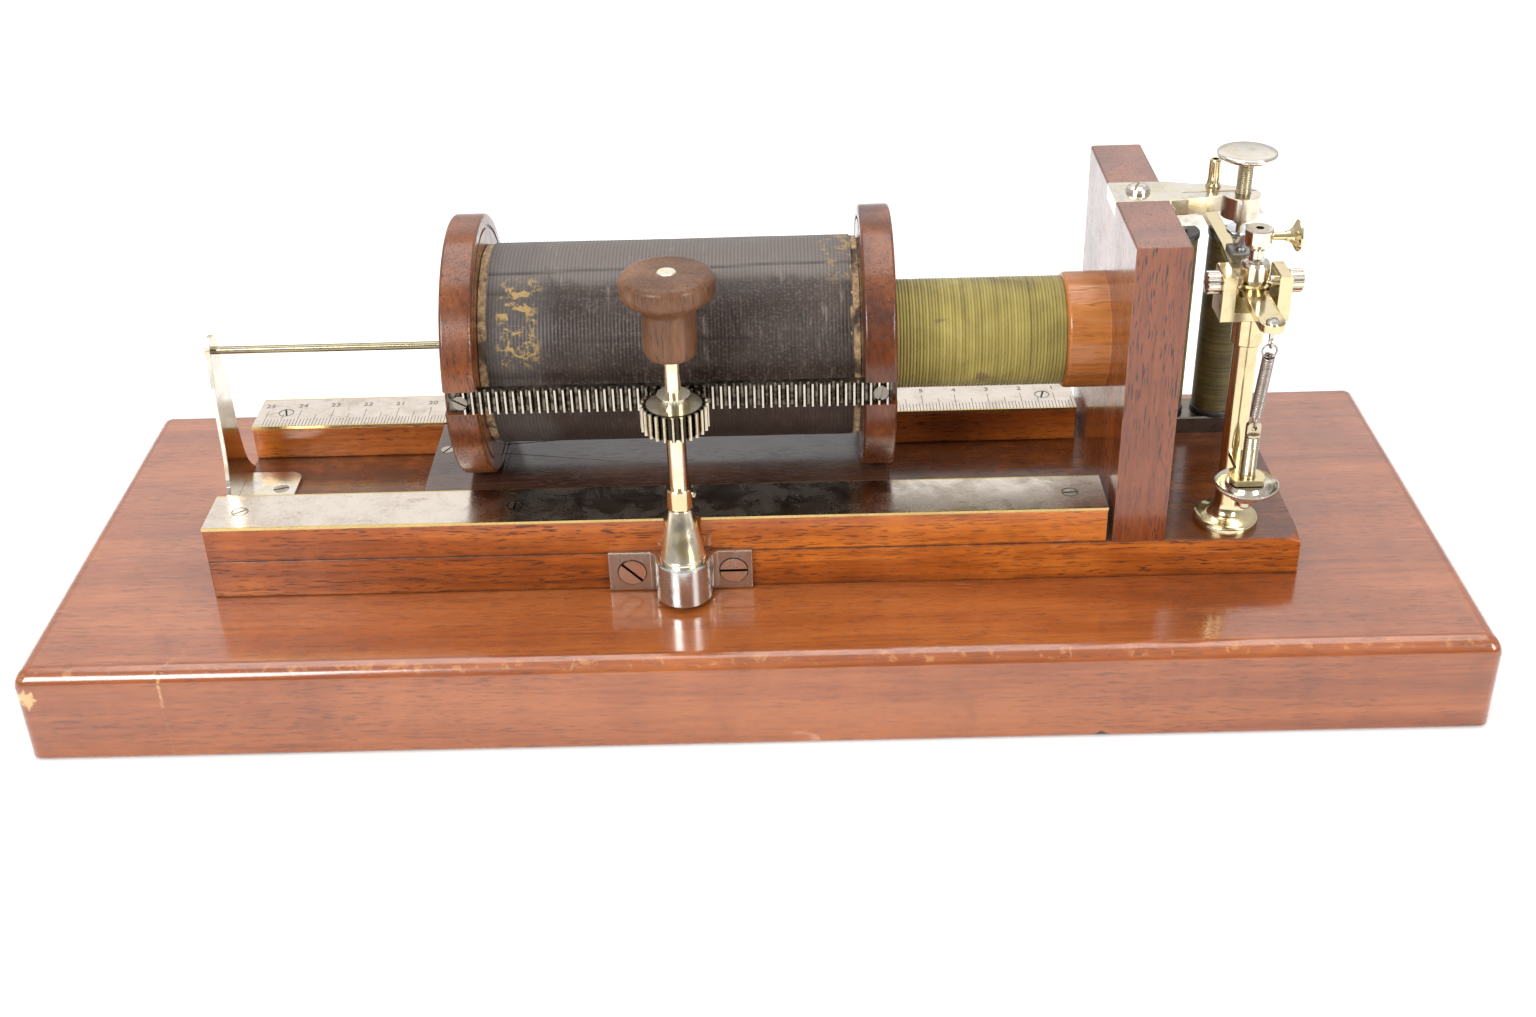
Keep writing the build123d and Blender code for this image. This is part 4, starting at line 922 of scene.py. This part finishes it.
def coil_curve(name, p0, p1, first_loop=(), last_loop=()):
    """A close helix of wire between two points, with an end loop's points before or after it."""
    axis = (p1 - p0).normalized()
    u = axis.cross(Vector((1, 0, 0))).normalized()
    v = axis.cross(u)
    steps = 20
    count = round((p1 - p0).length / (2.1 * SPRING_WIRE))
    points = list(first_loop)
    for i in range(count * steps + 1):
        a = 2 * pi * i / steps + 0.4
        t = i / (count * steps)
        points.append(p0 + (p1 - p0) * t + u * (SPRING_R * cos(a)) + v * (SPRING_R * sin(a)))
    points += list(last_loop)
    curve = bpy.data.curves.new(name, "CURVE")
    curve.dimensions = "3D"
    curve.bevel_depth = SPRING_WIRE
    curve.bevel_resolution = 3
    curve.use_fill_caps = True
    spline = curve.splines.new("POLY")
    spline.points.add(len(points) - 1)
    for knot, p in zip(spline.points, points):
        knot.co = (*p, 1.0)
    draft = bpy.data.objects.new(name, curve)
    bpy.context.scene.collection.objects.link(draft)
    mesh = bpy.data.meshes.new_from_object(draft)
    bpy.data.objects.remove(draft)
    mesh.name = name
    mesh.shade_smooth()
    mesh.materials.clear()
    mesh.materials.append(SPRING_STEEL)
    obj = bpy.data.objects.new(name, mesh)
    bpy.context.scene.collection.objects.link(obj)
    return obj


def loop(centre, radius, level, start, end):
    """Points round an open upright loop, from one angle to another. level is its sideways direction."""
    steps = 22
    points = []
    for i in range(steps + 1):
        a = radians(start + (end - start) * i / steps)
        points.append(centre + (level * cos(a) + Vector((0, 0, sin(a)))) * radius)
    return points


def tension_spring():
    """One helix in two meshes that meet at its middle."""
    low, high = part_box("tension_rod")
    rod = Vector(((low.x + high.x) / 2, (low.y + high.y) / 2, high.z))
    low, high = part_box("nose_hook")
    hook = Vector(((low.x + high.x) / 2, (low.y + high.y) / 2, low.z))
    bottom = rod + Vector((0, -0.6, 1.9)) * MM
    top = hook + Vector((0, 0.2, -2.4)) * MM
    middle = (bottom + top) / 2
    lower_loop = loop(rod + Vector((0, -0.1, -0.1)) * MM, 1.65 * MM, Vector((0, 1, 0)), 60, -260)
    upper_loop = loop(hook + Vector((0, 0.1, -0.85)) * MM, 1.85 * MM, Vector((1, 0, 0)), -110, 235)
    lower = coil_curve("spring_lower", bottom, middle, first_loop=reversed(lower_loop))
    upper = coil_curve("spring_upper", middle, top, last_loop=upper_loop)
    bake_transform(lower)
    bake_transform(upper)
    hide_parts("tension_spring")


tension_spring()

# ---------------------------------------------------------------- engraved scale
SCALE_LOW, SCALE_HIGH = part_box("rear_scale_strip")
SCALE_FACE_Z = SCALE_HIGH.z + 0.02 * MM
FIRST_MARK_X = SCALE_LOW.x + 3.0 * MM
FIRST_NUMBER = 25
MARKS = int((SCALE_HIGH.x - FIRST_MARK_X) / MM)
CUT_DEEP = 0.05 * MM
CUT_WIDE = 0.17 * MM


def engraving():
    """Worn black filling."""
    m = Mat("engraving", Roughness=0.7)
    grain = m.noise(m.stretch(even(900)), 3.0)
    m.colour(m.ramp(grain, [(0.3, (0.070, 0.055, 0.050)), (0.7, (0.20, 0.165, 0.15))]))
    return m.done()


def scale_lines(ink):
    """One line for each millimetre, longer at the fives and longest at the tens."""
    verts, faces = [], []
    for k in range(MARKS):
        x = FIRST_MARK_X + k * MM
        reach = 10.2 if k % 10 == 0 else (7.7 if k % 5 == 0 else 4.8)
        x0, x1 = x - CUT_WIDE / 2, x + CUT_WIDE / 2
        y0, y1 = SCALE_LOW.y + 0.25 * MM, SCALE_LOW.y + reach * MM
        n = len(verts)
        for z in (SCALE_FACE_Z - CUT_DEEP, SCALE_FACE_Z):
            verts += [(x0, y0, z), (x1, y0, z), (x1, y1, z), (x0, y1, z)]
        faces += [(n + 4, n + 5, n + 6, n + 7), (n + 3, n + 2, n + 1, n)]
        for i in range(4):
            j = (i + 1) % 4
            faces.append((n + i, n + j, n + 4 + j, n + 4 + i))
    make("scale_lines", verts, faces, ink, "base")


def scale_number(index, ink):
    """The numeral at one of the tens, counting down to the right."""
    text = bpy.data.curves.new("scale_number_%02d" % index, "FONT")
    text.body = str(FIRST_NUMBER - index)
    text.size = 3.0 * MM
    text.align_x = "CENTER"
    text.extrude = 0.02 * MM
    text.materials.append(ink)
    label = bpy.data.objects.new(text.name, text)
    bpy.context.scene.collection.objects.link(label)
    label.location = (FIRST_MARK_X + index * 10 * MM, SCALE_LOW.y + 12.2 * MM, SCALE_FACE_Z)
    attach(label, "base")


INK = engraving()
scale_lines(INK)
for index in range((MARKS + 9) // 10):
    scale_number(index, INK)


# ---------------------------------------------------------------- floor, light and camera
def grey(level, blue=1.0):
    return (level, level, min(1.0, level * blue))


def pale_floor():
    m = Mat("floor", Roughness=0.85)
    tone = m.noise(m.stretch(even(9)), 2.0)
    m.colour(m.ramp(tone, [(0.3, grey(0.86)), (0.7, grey(0.90))]))
    bpy.ops.mesh.primitive_plane_add(size=12, location=(0, 0, -0.4 * MM))
    floor = bpy.context.object
    floor.name = "floor"
    floor.data.materials.append(m.done())


def studio_sky():
    """A room that is bright overhead and behind the object, and dim below and in front of it."""
    world = bpy.data.worlds.new("studio")
    bpy.context.scene.world = world
    n = Nodes(world)
    coords = n.tree.nodes.new("ShaderNodeTexCoord")
    _, y, z = n.xyz(coords.outputs["Generated"])
    height = n.times_add(z, 0.5, n.times_add(y, 0.28, 0.42))
    shade = n.ramp(height, [(0.12, grey(0.06, 1.01)), (0.46, grey(0.62, 1.01)), (1.0, grey(1.0))])
    sky = n.tree.nodes.new("ShaderNodeBackground")
    sky.inputs["Strength"].default_value = 0.85
    n.link(shade, sky.inputs["Color"])
    out = n.tree.nodes.new("ShaderNodeOutputWorld")
    n.link(sky.outputs[0], out.inputs[0])


def softbox(name, place, target, size, power):
    """A rectangular area light that faces a target. Its power is in watts."""
    lamp = bpy.data.lights.new(name, "AREA")
    lamp.shape = "RECTANGLE"
    lamp.size, lamp.size_y = size
    lamp.energy = power
    obj = bpy.data.objects.new(name, lamp)
    bpy.context.scene.collection.objects.link(obj)
    obj.location = place
    obj.rotation_euler = (Vector(target) - Vector(place)).to_track_quat("-Z", "Y").to_euler()


def camera(place, lens, yaw, pitch, roll):
    """The photograph's viewpoint. It looks along +Y, turned by yaw, pitch and roll in radians."""
    data = bpy.data.cameras.new("camera")
    obj = bpy.data.objects.new("camera", data)
    bpy.context.scene.collection.objects.link(obj)
    bpy.context.scene.camera = obj
    data.lens = lens
    data.clip_start = 10 * MM
    ahead = Vector((sin(yaw) * cos(pitch), cos(yaw) * cos(pitch), sin(pitch)))
    right = Vector((cos(yaw), -sin(yaw), 0))
    up = right.cross(ahead)
    rolled_right = right * cos(roll) + up * sin(roll)
    rolled_up = up * cos(roll) - right * sin(roll)
    turn = Matrix((rolled_right, rolled_up, -ahead)).transposed().to_4x4()
    obj.matrix_world = Matrix.Translation(place) @ turn


pale_floor()
studio_sky()
softbox("overhead", (0.0, 0.25, 1.5), (0, 0, 0.05), (1.6, 1.2), 16)
softbox("front_left", (-0.8, -1.2, 1.0), (0, 0, 0.06), (0.7, 0.6), 20)
softbox("back_sheen", (0.0, 2.4, 1.5), (0, 0, 0.05), (3.2, 1.0), 5)
softbox("front_right", (1.1, -1.0, 0.8), (0.05, 0, 0.06), (0.5, 0.8), 12)
camera((0.0092, -0.4622, 0.3099), 42.57, -0.0116, -0.5445, -0.0299)
bpy.context.scene.view_settings.view_transform = "Standard"
